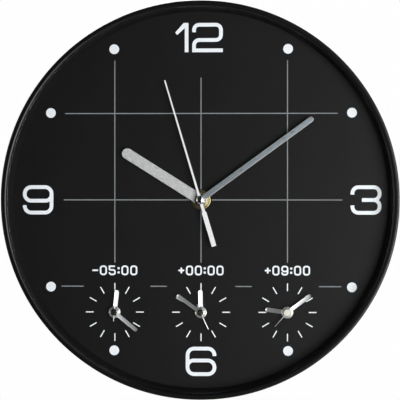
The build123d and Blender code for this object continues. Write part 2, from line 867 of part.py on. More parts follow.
def third_wheel():
    """The wheel between the second pinion and the centre wheel."""
    bottom = -back_wall_depth - pivot_depth + pivot_end_gap
    top = -train_plate_depth + train_plate_thickness - pivot_end_gap
    body = disc(arbor_radius, bottom, top)
    phase = gap_phase(third_direction + 180, third_wheel_teeth)
    body += gear(third_wheel_teeth, third_module, -third_wheel_depth, wheel_thickness, phase)
    pinion_bottom = wheel_thickness - third_wheel_depth
    body += gear(third_pinion_teeth, centre_module, pinion_bottom, pinion_length, third_direction + 180)
    return Pos(*pivot_places()["third"], 0) * body


def centre_wheel(tube_top):
    """The centre wheel, its cannon pinion and the tube that carries the minute hand."""
    body = disc(minute_tube_radius, -centre_wheel_depth, tube_top)
    phase = gap_phase(third_direction, centre_wheel_teeth)
    body += gear(centre_wheel_teeth, centre_module, -centre_wheel_depth, wheel_thickness, phase)
    body += gear(cannon_pinion_teeth, minute_module, -cannon_pinion_depth, pinion_length, minute_direction)
    return body - disc(second_arbor_radius + running_gap, -centre_wheel_depth - overrun, tube_top + overrun)


def minute_wheel():
    """The wheel between the cannon pinion and the hour wheel."""
    phase = gap_phase(minute_direction + 180, minute_wheel_teeth)
    bottom = -minute_wheel_depth
    body = gear(minute_wheel_teeth, minute_module, bottom, wheel_thickness, phase)
    pinion_bottom = bottom + wheel_thickness
    pinion_height = pinion_length + wheel_thickness / 2
    body += gear(minute_pinion_teeth, hour_module, pinion_bottom, pinion_height, minute_direction + 180)
    body += disc(arbor_radius, pinion_bottom, -minute_front_end)
    body -= disc(knob_stem_radius + press_gap, bottom - overrun, pinion_bottom + pinion_height / 2)
    return Pos(*around(minute_direction, minute_distance), 0) * body


def set_knob():
    """The knurled knob behind the movement, on a stem that reaches the minute wheel."""
    back = -movement_depth - knob_gap
    knurl = 2 * knob_radius / knob_teeth
    body = gear(knob_teeth, knurl, back - knob_thickness, knob_thickness, 0)
    stem_top = wheel_thickness - minute_wheel_depth
    body += disc(knob_stem_radius, back - knob_thickness / 2, stem_top)
    return Pos(*around(minute_direction, minute_distance), 0) * body


def hour_wheel(pipe_top):
    """The hour wheel and the pipe that carries the hour hand."""
    body = disc(hour_pipe_radius, -hour_wheel_depth, pipe_top)
    phase = gap_phase(minute_direction, hour_wheel_teeth)
    body += gear(hour_wheel_teeth, hour_module, -hour_wheel_depth, wheel_thickness, phase)
    return body - disc(minute_tube_radius + running_gap, -hour_wheel_depth - overrun, pipe_top + overrun)


def train_plate():
    """The plate that carries the front ends of the rotor, step and third arbors."""
    plate = Pos(train_plate_offset_x, train_plate_offset_y, -train_plate_depth) * extrude(
        RectangleRounded(train_plate_width, train_plate_height, train_plate_round), train_plate_thickness
    )
    bottom = -train_plate_depth - overrun
    top = -train_plate_depth + train_plate_thickness + overrun
    cannon_tip = cannon_pinion_teeth * minute_module / 2 + minute_module
    plate -= disc(cannon_tip, bottom, top)
    for x, y in pivot_places().values():
        plate -= Pos(x, y, 0) * disc(arbor_radius + running_gap, bottom, top)
    x, y = around(minute_direction, minute_distance)
    return plate - Pos(x, y, 0) * disc(knob_stem_radius + running_gap, bottom, top)


def stator():
    """The stator plate round the rotor, and the coil core that lies across its two legs."""
    rotor_x, rotor_y = pivot_places()["rotor"]
    back = -stator_depth
    front = back + stator_thickness
    half = stator_bar_height / 2
    plate = block(-stator_reach, stator_reach, rotor_y - half, rotor_y + half, back, front)
    plate += Pos(rotor_x, rotor_y, 0) * disc(stator_ring_radius, back, front)
    leg_top = coil_offset_y + stator_leg_width / 2
    for side in (-1, 1):
        centre = side * (stator_reach - stator_leg_width / 2)
        leg_half = stator_leg_width / 2
        plate += block(centre - leg_half, centre + leg_half, rotor_y, leg_top, back, front)
    plate -= Pos(rotor_x, rotor_y, 0) * disc(rotor_magnet_radius + rotor_gap, back - overrun, front + overrun)
    core_low = coil_offset_y - stator_leg_width / 2
    core = block(-stator_reach, stator_reach, core_low, leg_top, front, front + stator_thickness)
    return [plate, core]


def coil():
    """The coil: a winding between two flanges, with a square way through for the core."""
    axis_depth = stator_depth - stator_thickness - stator_thickness / 2
    body = Cylinder(coil_radius, coil_length)
    for side in (-1, 1):
        place = Pos(0, 0, side * (coil_length - coil_flange_thickness) / 2)
        body += place * Cylinder(coil_flange_radius, coil_flange_thickness)
    body = Pos(0, coil_offset_y, -axis_depth) * Rot(0, 90, 0) * body
    core_half = stator_leg_width / 2 + core_gap
    thin_half = stator_thickness / 2 + core_gap
    way = block(-coil_length, coil_length, -core_half, core_half, -thin_half, thin_half)
    return body - Pos(0, coil_offset_y, -axis_depth) * way


def circuit_board():
    """The board beside the train, with its sealed chip."""
    left = board_offset_x - board_width / 2
    low = board_offset_y - board_length / 2
    board_front = board_thickness - board_depth
    board = block(left, left + board_width, low, low + board_length, -board_depth, board_front)
    chip = disc(chip_radius, board_front - board_thickness / 2, board_front + chip_height)
    return board + Pos(board_offset_x, board_offset_y, 0) * chip


def washer():
    """The brass washer on the dial plate."""
    return tube(washer_radius, bushing_radius + press_gap, dial_level, dial_level + washer_thickness)


def lock_nut():
    """The round brass nut on the main bushing."""
    bottom = dial_level + washer_thickness
    body = disc(nut_radius, bottom, bottom + nut_thickness)
    body = chamfer(body.edges().group_by(Axis.Z)[-1], nut_chamfer)
    return body - disc(bushing_radius + press_gap, bottom - overrun, bottom + nut_thickness + overrun)


# Hands, in the movement's frame


def baton(width, length, bottom, thickness):
    """A parallel hand with a round tip, pointing to 12 o'clock."""
    blade = Pos(0, (length - width / 2) / 2) * Rectangle(width, length - width / 2)
    blade += Pos(0, length - width / 2) * Circle(width / 2)
    return Pos(0, 0, bottom) * extrude(blade, thickness)


def tube_hand(width, length, level, hub_radius, collar, bore):
    """An hour or minute hand: a blade and a round hub that grips its pipe."""
    hand = baton(width, length, level, hand_thickness)
    hand += disc(hub_radius, level - collar / 2, level + hand_thickness)
    hand += disc((hub_radius + bore) / 2, level - collar, level)
    return hand - disc(bore + press_gap, level - collar - overrun, level + hand_thickness + overrun)


def main_second_hand(level):
    """A slim tapered hand with a paddle behind the hub as its counterweight."""
    blade = Polyline(
        (-second_root_width / 2, 0),
        (second_root_width / 2, 0),
        (second_tip_width / 2, main_second_length),
        (-second_tip_width / 2, main_second_length),
        close=True,
    )
    neck = Pos(0, -tail_neck_length / 2) * Rectangle(tail_neck_width, tail_neck_length)
    paddle_length = tail_length - tail_neck_length
    paddle = Pos(0, -tail_neck_length - paddle_length / 2) * Rectangle(tail_width, paddle_length)
    outline = make_face(blade) + neck + paddle + Circle(main_second_hub_radius)
    hand = Pos(0, 0, level) * extrude(outline, second_thickness)
    hand += disc(main_second_hub_radius / 2, level - hub_collar, level)
    bore_radius = second_arbor_radius + press_gap
    return hand - disc(bore_radius, level - hub_collar - overrun, level + second_thickness + overrun)


def domed_cap(radius, height, edge_round, bottom):
    """A polished round cap with a rounded top edge."""
    cap = disc(radius, bottom, bottom + height)
    return fillet(cap.edges().group_by(Axis.Z)[-1], edge_round)


def zone_second_hand(level):
    """A needle with a short tail and a round cap on its hub."""
    half = zone_second_width / 2
    hand = block(-half, half, -zone_second_tail, zone_second_length, level, level + second_thickness)
    hand += disc(2 * second_arbor_radius, level - zone_hub_collar, level + second_thickness)
    hand += domed_cap(zone_cap_radius, zone_cap_height, zone_cap_round, level + second_thickness / 2)
    bore_radius = second_arbor_radius + press_gap
    return hand - disc(bore_radius, level - zone_hub_collar - overrun, level + second_thickness)


def hand_levels(hour_height, step):
    """The undersides of the hour, minute and second hand in the movement's frame."""
    hour = dial_level + hour_height
    return hour, hour + step, hour + 2 * step


# Build the case, the print and the four movements

os.makedirs("parts", exist_ok=True)

save("case_ring", case_ring())
save("lens", lens())
save("spacer_ring", spacer_ring())
save("dial_plate", dial_plate())
save("dial_print_white", white_print())
save("dial_print_grey", grey_print())
save("rear_panel", rear_panel())
save("case_screws", case_screws())


def save_main_movement():
    """The main movement with its whole train, and the main hands."""
    hour_level, minute_level, second_level = hand_levels(main_hour_height, main_hand_step)
    hour_angle, minute_angle, second_angle = hand_angles["main"]
    top = hand_thickness + pipe_stand_out
    hour_hand = tube_hand(
        main_hour_width, main_hour_length, hour_level, main_hub_radius, hub_collar, hour_pipe_radius
    )
    minute_hand = tube_hand(
        main_minute_width, main_minute_length, minute_level, main_hub_radius, hub_collar, minute_tube_radius
    )
    cap = domed_cap(main_cap_radius, main_cap_height, main_cap_round, second_level + second_thickness)
    pieces = {
        "main_movement_cover": movement_cover(main_bushing_length, False),
        "main_movement_base": movement_base(True),
        "main_battery": battery(),
        "main_battery_contacts": battery_contacts(),
        "main_circuit_board": circuit_board(),
        "main_coil": coil(),
        "main_stator": stator(),
        "main_train_plate": train_plate(),
        "main_rotor": rotor(),
        "main_step_wheel": step_wheel(),
        "main_second_wheel": second_wheel(second_level + second_thickness),
        "main_third_wheel": third_wheel(),
        "main_centre_wheel": centre_wheel(minute_level + top),
        "main_minute_wheel": minute_wheel(),
        "main_hour_wheel": hour_wheel(hour_level + top),
        "main_set_knob": set_knob(),
        "main_washer": washer(),
        "main_lock_nut": lock_nut(),
        "main_hour_hand": clock_turn(hour_angle) * hour_hand,
        "main_minute_hand": clock_turn(minute_angle) * minute_hand,
        "main_second_hand": clock_turn(second_angle) * main_second_hand(second_level),
        "main_hand_cap": cap,
    }
    for name, shape in pieces.items():
        shapes = shape if isinstance(shape, list) else [shape]
        save(name, [in_movement("main", each) for each in shapes])


def save_zone_movement(zone):
    """One small movement: its shells, the wheels on the hand axis, the set knob and the hands."""
    hour_level, minute_level, second_level = hand_levels(zone_hour_height, zone_hand_step)
    hour_angle, minute_angle, second_angle = hand_angles[zone]
    top = hand_thickness + pipe_stand_out
    hour_size = (zone_hour_width, zone_hour_length)
    minute_size = (zone_minute_width, zone_minute_length)
    hour_hand = tube_hand(*hour_size, hour_level, zone_hour_hub_radius, zone_hub_collar, hour_pipe_radius)
    minute_hand = tube_hand(
        *minute_size, minute_level, zone_minute_hub_radius, zone_hub_collar, minute_tube_radius
    )
    pieces = {
        "movement_cover": movement_cover(zone_bushing_length, True),
        "movement_base": movement_base(False),
        "second_wheel": second_wheel(second_level + second_thickness / 2),
        "centre_wheel": centre_wheel(minute_level + top),
        "hour_wheel": hour_wheel(hour_level + top),
        "set_knob": minute_wheel() + set_knob(),
        "hour_hand": clock_turn(hour_angle) * hour_hand,
        "minute_hand": clock_turn(minute_angle) * minute_hand,
        "second_hand": clock_turn(second_angle) * zone_second_hand(second_level),
    }
    for name, shape in pieces.items():
        save(f"{zone}_{name}", in_movement(zone, shape))


save_main_movement()
for zone_name in zone_names:
    save_zone_movement(zone_name)

save("small_batteries", [in_movement(zone, battery()) for zone in zone_names])
small_leaves = [in_movement(zone, leaf) for zone in zone_names for leaf in battery_contacts()]
save("small_battery_contacts", small_leaves)

lug_back = panel_back - lug_thickness
lug_screw = pan_screw(
    lug_screw_radius, lug_screw_head_radius, lug_screw_head_height, lug_back, panel_back + lug_screw_bite
)
save("small_movement_screws", [Pos(x, y, 0) * lug_screw for x, y in lug_screw_places()])
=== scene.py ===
# %% [markdown]
# # A world time clock, dressed in Blender
# The clock has one large dial and three small ones on the same black face. Its solid parts
# come from the CAD model. Here they get their finishes, and the pieces that show most are
# built again with soft edges, domes and grooves, which a mesh carries better than a plain
# solid. The clock's own lengths are in millimetres from the middle of the dial, and are
# turned to metres when a piece is written.

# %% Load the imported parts
import json
import math

import bmesh
import bpy
from mathutils import Matrix, Vector


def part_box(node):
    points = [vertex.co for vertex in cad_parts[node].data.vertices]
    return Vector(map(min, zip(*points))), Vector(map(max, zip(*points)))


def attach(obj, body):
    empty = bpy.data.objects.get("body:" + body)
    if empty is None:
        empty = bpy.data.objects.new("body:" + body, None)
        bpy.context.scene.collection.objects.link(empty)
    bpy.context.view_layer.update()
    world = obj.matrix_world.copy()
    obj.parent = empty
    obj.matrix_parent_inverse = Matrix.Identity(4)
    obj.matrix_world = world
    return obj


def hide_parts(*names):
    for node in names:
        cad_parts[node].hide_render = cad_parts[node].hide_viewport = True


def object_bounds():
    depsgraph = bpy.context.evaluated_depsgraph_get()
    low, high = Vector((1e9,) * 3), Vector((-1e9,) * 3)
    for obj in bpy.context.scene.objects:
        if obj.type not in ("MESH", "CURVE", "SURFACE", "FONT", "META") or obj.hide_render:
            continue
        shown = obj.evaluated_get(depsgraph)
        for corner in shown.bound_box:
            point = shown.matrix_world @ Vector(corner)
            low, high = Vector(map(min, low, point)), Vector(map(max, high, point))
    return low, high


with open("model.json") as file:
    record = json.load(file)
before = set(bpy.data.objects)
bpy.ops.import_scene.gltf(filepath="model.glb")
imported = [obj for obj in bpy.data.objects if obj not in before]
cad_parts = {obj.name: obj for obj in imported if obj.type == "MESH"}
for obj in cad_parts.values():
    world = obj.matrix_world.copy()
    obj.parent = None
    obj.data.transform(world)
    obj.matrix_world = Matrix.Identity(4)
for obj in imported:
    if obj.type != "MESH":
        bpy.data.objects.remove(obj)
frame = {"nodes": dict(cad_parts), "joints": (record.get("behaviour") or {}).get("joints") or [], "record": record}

cad_low, cad_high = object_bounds()

# %% [markdown]
# ## Where things are
# A piece is drawn flat, as if the clock lay on a bench: x to the right, y up to 12 o'clock
# and z towards the viewer, with z = 0 at the wall. One matrix then stands it up in the
# frame of the CAD parts. The heights of parts are read from the parts themselves, so a new
# piece always sits where the old one did.

# %% Turn the drawing frame into the clock's frame
millimetre = 0.001
case_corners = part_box("case_ring")
dial_middle = (case_corners[0] + case_corners[1]) / 2
stand_up = (
    Matrix.Translation((dial_middle.x, 0, dial_middle.z))
    @ Matrix.Rotation(math.radians(90), 4, "X")
    @ Matrix.Scale(millimetre, 4)
)


def front_of(node):
    """How far the front of a part stands off the wall."""
    return -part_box(node)[0].y / millimetre


def back_of(node):
    """How far the back of a part stands off the wall."""
    return -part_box(node)[1].y / millimetre


def axis_of(joint_name):
    """The place of a joint's axis on the dial, x and y."""
    joint = next(joint for joint in frame["joints"] if joint["name"] == joint_name)
    x, _, z = joint["pos_m"]
    return (x - dial_middle.x) / millimetre, (z - dial_middle.z) / millimetre


dial_front = front_of("dial_plate")
case_front = front_of("case_ring")
print("dial at", round(dial_front, 2), "and rim at", round(case_front, 2), "mm from the wall")

# %% [markdown]
# ## A node helper for materials
# All finishes are node materials, so that grain and texture have a real size and need no
# pictures. One function adds a node with its settings and links, and colours are written
# as the hex values that a paint chart would give, then turned to linear light.

# %% Colour and node helpers


def linear(hex_colour):
    """An sRGB colour such as "#c0a060" as linear red, green, blue and alpha."""
    channels = [int(hex_colour[i : i + 2], 16) / 255 for i in (1, 3, 5)]
    return [c / 12.92 if c <= 0.04045 else ((c + 0.055) / 1.055) ** 2.4 for c in channels] + [1.0]


def add_node(tree, kind, settings=None, links=None):
    """Add a node, fill its properties and sockets, and join its inputs to other outputs."""
    node = tree.nodes.new(kind)
    for name, value in (settings or {}).items():
        if isinstance(name, str) and hasattr(node, name):
            setattr(node, name, value)
        else:
            node.inputs[name].default_value = value
    for name, source in (links or {}).items():
        tree.links.new(source, node.inputs[name])
    return node


def new_material(name):
    """An empty node material and its output node."""
    material = bpy.data.materials.new(name)
    material.use_nodes = True
    material.node_tree.nodes.clear()
    output = add_node(material.node_tree, "ShaderNodeOutputMaterial")
    return material, material.node_tree, output


def ramp_colours(ramp, stops):
    """Fill a colour ramp from (place, hex colour) pairs."""
    elements = ramp.color_ramp.elements
    while len(elements) < len(stops):
        elements.new(0.5)
    for element, (place, hex_colour) in zip(elements, stops):
        element.position = place
        element.color = linear(hex_colour)


print("white in linear light:", [round(value, 3) for value in linear("#eef4f8")])

# %% [markdown]
# ## Moulded and painted surfaces
# Most of the clock is black plastic or black paint. What tells one from another is how
# fine the skin is: a polished mould leaves a faint orange peel, a spark-eroded one its
# fine grain, and lacquer lies quite flat. So one function makes them all from a colour, a
# roughness and the size and depth of the skin's bumps. The size is the spacing of the
# bumps in millimetres, and the noise scale is worked out from it.

# %% One function for skins with fine bumps
# The colour changes once in sixty bumps, and the roughness a little from bump to bump
bumps_per_cloud = 60
shine_spread = 0.04


def skin(name, dark, pale, roughness, bump_size, bump_depth, coat=0.0, gloss=0.5):
    """A plastic or paint whose colour, roughness and height vary with a fine noise."""
    material, tree, output = new_material(name)
    place = add_node(tree, "ShaderNodeTexCoord")
    scale = 1 / (bump_size * millimetre)
    noise = add_node(
        tree, "ShaderNodeTexNoise", {"Scale": scale, "Detail": 4.0}, {"Vector": place.outputs["Object"]}
    )
    cloud = add_node(
        tree,
        "ShaderNodeTexNoise",
        {"Scale": scale / bumps_per_cloud, "Detail": 2.0},
        {"Vector": place.outputs["Object"]},
    )
    tint = add_node(tree, "ShaderNodeValToRGB", None, {"Fac": cloud.outputs["Fac"]})
    ramp_colours(tint, [(0.3, dark), (0.7, pale)])
    shine = add_node(
        tree,
        "ShaderNodeMapRange",
        {"To Min": roughness - shine_spread, "To Max": roughness + shine_spread},
        {"Value": noise.outputs["Fac"]},
    )
    bump = add_node(
        tree,
        "ShaderNodeBump",
        {"Strength": 1.0, "Distance": bump_depth * millimetre},
        {"Height": noise.outputs["Fac"]},
    )
    surface = add_node(
        tree,
        "ShaderNodeBsdfPrincipled",
        {"Coat Weight": coat, "Coat Roughness": 0.12, "Specular IOR Level": gloss},
        {
            "Base Color": tint.outputs["Color"],
            "Roughness": shine.outputs["Result"],
            "Normal": bump.outputs["Normal"],
        },
    )
    tree.links.new(surface.outputs["BSDF"], output.inputs["Surface"])
    return material


finishes = {
    # ABS from a polished mould: a smooth, deep black with a soft sheen
    "rim_black": skin("satin_gloss_black_abs", "#090909", "#0d0d0e", 0.24, 1.6, 0.0015, gloss=0.22),
    # Matt moulded ABS, so that the inner wall swallows light
    "inner_wall_black": skin("matt_black_abs", "#1a1a1a", "#1f1f1f", 0.65, 0.8, 0.006, gloss=0.02),
    # Matt lacquer on the aluminium dial sheet: dead flat, with a trace of tooth
    "dial_black": skin("matt_black_dial_lacquer", "#0c0c0c", "#0f0f0f", 0.34, 0.5, 0.001, gloss=0.21),
    # Rear panel: black ABS from a spark-eroded mould
    "panel_black": skin("spark_textured_black_abs", "#17181a", "#1e1f21", 0.55, 0.7, 0.03),
    # Movement shells: glossier black ABS
    "movement_black": skin("black_abs_moulding", "#1c1d20", "#232427", 0.36, 1.1, 0.008),
    # Screen ink: bluish white and slightly raised, with a soft eggshell surface
    "ink_white": skin("white_screen_ink", "#eaf0f4", "#f2f7fb", 0.5, 0.4, 0.002),
    # The grid is printed in a thin grey ink
    "ink_grey": skin("grey_screen_ink", "#7b8083", "#868b8e", 0.55, 0.4, 0.002),
    # Gear wheels: unfilled acetal, milky and slightly waxy
    "wheel_white": skin("white_acetal", "#d9d8d0", "#e4e3dc", 0.4, 0.9, 0.003),
    # Set knobs: the same acetal, a little greyer from handling
    "knob_white": skin("handled_white_acetal", "#c9c8c2", "#dad9d3", 0.45, 0.9, 0.004),
    # Circuit board: glass-fibre laminate under green solder mask
    "board_green": skin("green_solder_mask", "#0f3b22", "#16492b", 0.35, 0.6, 0.004, 0.3),
    # The second hand is sprayed white on thin aluminium
    "hand_white": skin("white_spray_lacquer", "#e2e3e4", "#eceded", 0.42, 0.7, 0.003),
    # Painted reflection: the cap of the right small dial is a flat cream colour that stands in for the bright
    # backdrop it mirrors
    "cap_cream": skin("cream_painted_backdrop_reflection", "#d3cfc0", "#dcd9cb", 0.4, 0.7, 0.003),
}
print(len(finishes), "moulded, painted and printed finishes")

# %% [markdown]
# ## Metals
# Metal shows how it was worked. Turned brass and plated steel are even, so a faint cloud
# in the roughness is enough. The hands are cut from brushed sheet: hair-fine scratches
# run along them. A noise that is stretched along one direction draws such scratches. The
# hands point every way, so the scratches follow a map that each hand carries, with one
# unit to ten millimetres, and not the room. Real scratches are some 0.05 mm apart. Here
# they are 0.15 mm apart on the small hands and 0.6 to 0.9 mm apart on the large ones, so
# that they still show.

# %% One function for plain metals and one for brushed sheet
map_unit = 10.0
# A scratch is very shallow beside its distance to the next one
scratch_depth_share = 0.007


def plain_metal(name, dark, pale, roughness, cloud_size):
    """A metal with an even surface and a faint cloud of handling marks."""
    material, tree, output = new_material(name)
    place = add_node(tree, "ShaderNodeTexCoord")
    cloud = add_node(
        tree,
        "ShaderNodeTexNoise",
        {"Scale": 1 / (cloud_size * millimetre), "Detail": 3.0},
        {"Vector": place.outputs["Object"]},
    )
    tint = add_node(tree, "ShaderNodeValToRGB", None, {"Fac": cloud.outputs["Fac"]})
    ramp_colours(tint, [(0.35, dark), (0.65, pale)])
    shine = add_node(
        tree,
        "ShaderNodeMapRange",
        {"To Min": roughness * 0.8, "To Max": roughness * 1.2},
        {"Value": cloud.outputs["Fac"]},
    )
    surface = add_node(
        tree,
        "ShaderNodeBsdfPrincipled",
        {"Metallic": 1.0},
        {"Base Color": tint.outputs["Color"], "Roughness": shine.outputs["Result"]},
    )
    tree.links.new(surface.outputs["BSDF"], output.inputs["Surface"])
    return material


def brushed_sheet(name, dark, pale, roughness, metallic, spacing, stretch=60.0, sideways=0.0):
    """Sheet metal with scratches along the piece's own length."""
    scratch_depth = scratch_depth_share * spacing
    material, tree, output = new_material(name)
    lengthways = add_node(tree, "ShaderNodeUVMap", {"uv_map": "lengthways"})
    squeeze = add_node(
        tree,
        "ShaderNodeMapping",
        {"Scale": (map_unit / spacing, map_unit / spacing / stretch, 1.0)},
        {"Vector": lengthways.outputs["UV"]},
    )
    scratches = add_node(
        tree, "ShaderNodeTexNoise", {"Scale": 1.0, "Detail": 3.0}, {"Vector": squeeze.outputs["Vector"]}
    )
    tint = add_node(tree, "ShaderNodeValToRGB", None, {"Fac": scratches.outputs["Fac"]})
    ramp_colours(tint, [(0.3, dark), (0.7, pale)])
    shine = add_node(
        tree,
        "ShaderNodeMapRange",
        {"To Min": roughness * 0.93, "To Max": roughness * 1.07},
        {"Value": scratches.outputs["Fac"]},
    )
    bump = add_node(
        tree,
        "ShaderNodeBump",
        {"Strength": 0.5, "Distance": scratch_depth * millimetre},
        {"Height": scratches.outputs["Fac"]},
    )
    across = add_node(tree, "ShaderNodeTangent", {"direction_type": "UV_MAP", "uv_map": "lengthways"})
    surface = add_node(
        tree,
        "ShaderNodeBsdfPrincipled",
        {"Metallic": metallic, "Anisotropic": sideways},
        {
            "Base Color": tint.outputs["Color"],
            "Roughness": shine.outputs["Result"],
            "Normal": bump.outputs["Normal"],
            "Tangent": across.outputs["Tangent"],
        },
    )
    tree.links.new(surface.outputs["BSDF"], output.inputs["Surface"])
    return material


finishes.update(
    {
        # Turned brass, bare: warm, with soft edges that catch the lamp
        "brass": plain_metal("turned_brass", "#8f8456", "#a2976a", 0.3, 2.0),
        # Chrome plate on the cap, almost a mirror
        "cap_chrome": plain_metal("polished_chrome", "#d4d4d2", "#dddddb", 0.08, 3.0),
        # The sheared and broken edge of aluminium sheet: bare, fine-grained and pale
        "cut_edge": plain_metal("sheared_aluminium_edge", "#c9cbcc", "#d9dbdc", 0.5, 1.0),
        # The rolled rings of the small hubs: nickel with a satin skin
        "satin_nickel": plain_metal("satin_nickel", "#cfd0ce", "#dedfdd", 0.3, 4.0),
        # The pressed hubs of the main hands, burnished on their pipes
        "hub_steel": plain_metal("burnished_hub_steel", "#8d8b86", "#9c9a95", 0.24, 1.2),
        # The flat caps of the small second hands: turned steel under a clear lacquer
        "small_cap_steel": plain_metal("lacquered_turned_steel", "#c2c1b3", "#cfcec0", 0.15, 3.0),
        # Zinc-plated steel screws
        "screw_steel": plain_metal("zinc_plated_steel", "#8f9296", "#a3a6aa", 0.32, 1.0),
        # Nickel-plated spring leaves
        "contact_nickel": plain_metal("nickel_plated_spring_steel", "#b5b2a8", "#c4c1b7", 0.22, 1.5),
        # Soft iron sheet, dull grey from rolling
        "stator_steel": plain_metal("rolled_soft_iron", "#6d6e70", "#808184", 0.45, 1.5),
        # Brushed aluminium sheet, clear lacquered
        "hand_brushed": brushed_sheet(
            "brushed_aluminium_sheet", "#979999", "#cccecd", 0.6, 0.2, spacing=0.6, stretch=6.0
        ),
        # The minute hand's sheet has less lacquer, so it mirrors more; its blue-grey colour is a painted
        # reflection of cool light, not a tint of the metal
        "hand_blue_grey": brushed_sheet(
            "brushed_sheet_with_painted_blue_reflection", "#a2adb5", "#c0cad1", 0.28, 0.95, spacing=0.9, stretch=5.0
        ),
        # Small hands, stamped with a groove from thin brushed sheet
        "small_hand_silver": brushed_sheet(
            "stamped_silver_sheet", "#cbcdce", "#e2e4e5", 0.38, 0.9, spacing=0.15, sideways=0.85
        ),
    }
)
print(len(finishes), "finishes so far")

# %% [markdown]
# ## Clear and wound things
# The lens is a flat sheet of clear glass. A true glass shader would shut the lamps out
# of the dial, so the sheet lets everything straight through, and only adds the shine that
# its two faces really have: a few percent head on and much more at a slant, which the
# Fresnel node gives. Light goes straight on inside the sheet, so the index is turned over
# for the far side, or that side would mirror everything. The train plate is smoked clear
# plastic, and the coil is copper wire, wound so fine that only faint rings show.

# %% Lens, train plate and winding
# A wave texture of scale 1 repeats every tenth of pi
wave_period = 0.314


def clear_sheet(name, tint, ior, gloss_roughness):
    """A thin clear sheet: see-through, with the same Fresnel shine on both of its sides."""
    material, tree, output = new_material(name)
    face = add_node(tree, "ShaderNodeNewGeometry")
    side_ior = add_node(
        tree,
        "ShaderNodeMapRange",
        {"To Min": ior, "To Max": 1 / ior},
        {"Value": face.outputs["Backfacing"]},
    )
    fresnel = add_node(tree, "ShaderNodeFresnel", None, {"IOR": side_ior.outputs["Result"]})
    through = add_node(tree, "ShaderNodeBsdfTransparent", {"Color": linear(tint)})
    gloss = add_node(tree, "ShaderNodeBsdfGlossy", {"Roughness": gloss_roughness})
    sheet = add_node(
        tree,
        "ShaderNodeMixShader",
        None,
        {0: fresnel.outputs["Fac"], 1: through.outputs["BSDF"], 2: gloss.outputs["BSDF"]},
    )
    tree.links.new(sheet.outputs["Shader"], output.inputs["Surface"])
    return material


def wound_wire(name, dark, pale, wire):
    """Rings of wire along x, one wire's width apart."""
    material, tree, output = new_material(name)
    place = add_node(tree, "ShaderNodeTexCoord")
    rings = add_node(
        tree,
        "ShaderNodeTexWave",
        {"wave_type": "BANDS", "bands_direction": "X", "Scale": wave_period / (wire * millimetre)},
        {"Vector": place.outputs["Object"]},
    )
    tint = add_node(tree, "ShaderNodeValToRGB", None, {"Fac": rings.outputs["Fac"]})
    ramp_colours(tint, [(0.2, dark), (0.8, pale)])
    bump = add_node(
        tree, "ShaderNodeBump", {"Distance": wire * millimetre / 2}, {"Height": rings.outputs["Fac"]}
    )
    surface = add_node(
        tree,
        "ShaderNodeBsdfPrincipled",
        {"Metallic": 1.0, "Roughness": 0.35},
        {"Base Color": tint.outputs["Color"], "Normal": bump.outputs["Normal"]},
    )
    tree.links.new(surface.outputs["BSDF"], output.inputs["Surface"])
    return material


finishes.update(
    {
        "lens_clear": clear_sheet("clear_flat_glass", "#ffffff", 1.52, 0.02),
        "plate_clear_grey": clear_sheet("smoked_clear_plastic", "#9a9ea2", 1.54, 0.1),
        "winding_copper": wound_wire("enamelled_copper_winding", "#8a4a24", "#c4763c", 0.3),
    }
)
print(len(finishes), "finishes so far")

# %% [markdown]
# ## The cells
# A cell is a steel can in a printed plastic sleeve. The sleeve is plain grey here, with a
# pale band that marks the plus end. The colour changes along the cell, so the material
# reads x in the cell's own map, which is drawn when the cell is.

# %% The sleeve of a cell
sleeve_share = 0.88
scuffs_per_metre = 700.0


def cell_sleeve(name):
    """A glossy grey sleeve with a pale band, split along the map's first number."""
    material, tree, output = new_material(name)
    lengthways = add_node(tree, "ShaderNodeUVMap", {"uv_map": "lengthways"})
    along = add_node(tree, "ShaderNodeSeparateXYZ", None, {"Vector": lengthways.outputs["UV"]})
    tint = add_node(tree, "ShaderNodeValToRGB", None, {"Fac": along.outputs["X"]})
    tint.color_ramp.interpolation = "CONSTANT"
    ramp_colours(tint, [(0.0, "#5a5d60"), (sleeve_share, "#b4b7ba")])
    place = add_node(tree, "ShaderNodeTexCoord")
    scuffs = add_node(
        tree,
        "ShaderNodeTexNoise",
        {"Scale": scuffs_per_metre, "Detail": 3.0},
        {"Vector": place.outputs["Object"]},
    )
    shine = add_node(
        tree, "ShaderNodeMapRange", {"To Min": 0.22, "To Max": 0.38}, {"Value": scuffs.outputs["Fac"]}
    )
    surface = add_node(
        tree,
        "ShaderNodeBsdfPrincipled",
        {"Metallic": 0.3},
        {"Base Color": tint.outputs["Color"], "Roughness": shine.outputs["Result"]},
    )
    tree.links.new(surface.outputs["BSDF"], output.inputs["Surface"])
    return material


finishes["cell_jacket"] = cell_sleeve("printed_cell_sleeve")

# %% [markdown]
# ## Dress the CAD parts
# Each CAD part names a material slot in the record. The part's own mesh stays as it is and
# only its slots are filled.

# %% Put a finish on every CAD part
slot_of = {part["node"]: part["material_slot"] for part in frame["record"]["subparts"]}
for node_name, part in frame["nodes"].items():
    part.data.materials.clear()
    part.data.materials.append(finishes[slot_of[node_name]])
print("dressed", len(slot_of), "CAD parts")

# %% [markdown]
# ## Drawing new pieces
# Nearly everything new is either turned or cut from sheet. Both begin with an outline: a
# flat face whose corners are rounded by a vertex bevel. A turned piece spins that outline
# round its axis, and a sheet piece extrudes it and breaks its edges.

# %% Outline, lathe and sheet helpers
merge_distance = 0.0005


def outline(points, rounds=None, segments=6):
    """A flat face through points in x and y. rounds gives a radius for some of its corners."""
    bm = bmesh.new()
    corners = [bm.verts.new((x, y, 0)) for x, y in points]
    bm.faces.new(corners)
    for index, radius in (rounds or {}).items():
        bmesh.ops.bevel(
            bm,
            geom=[corners[index]],
            offset=radius,
            offset_type="OFFSET",
            affect="VERTICES",
            segments=segments,
            profile=0.5,
            material=-1,
        )
    return bm


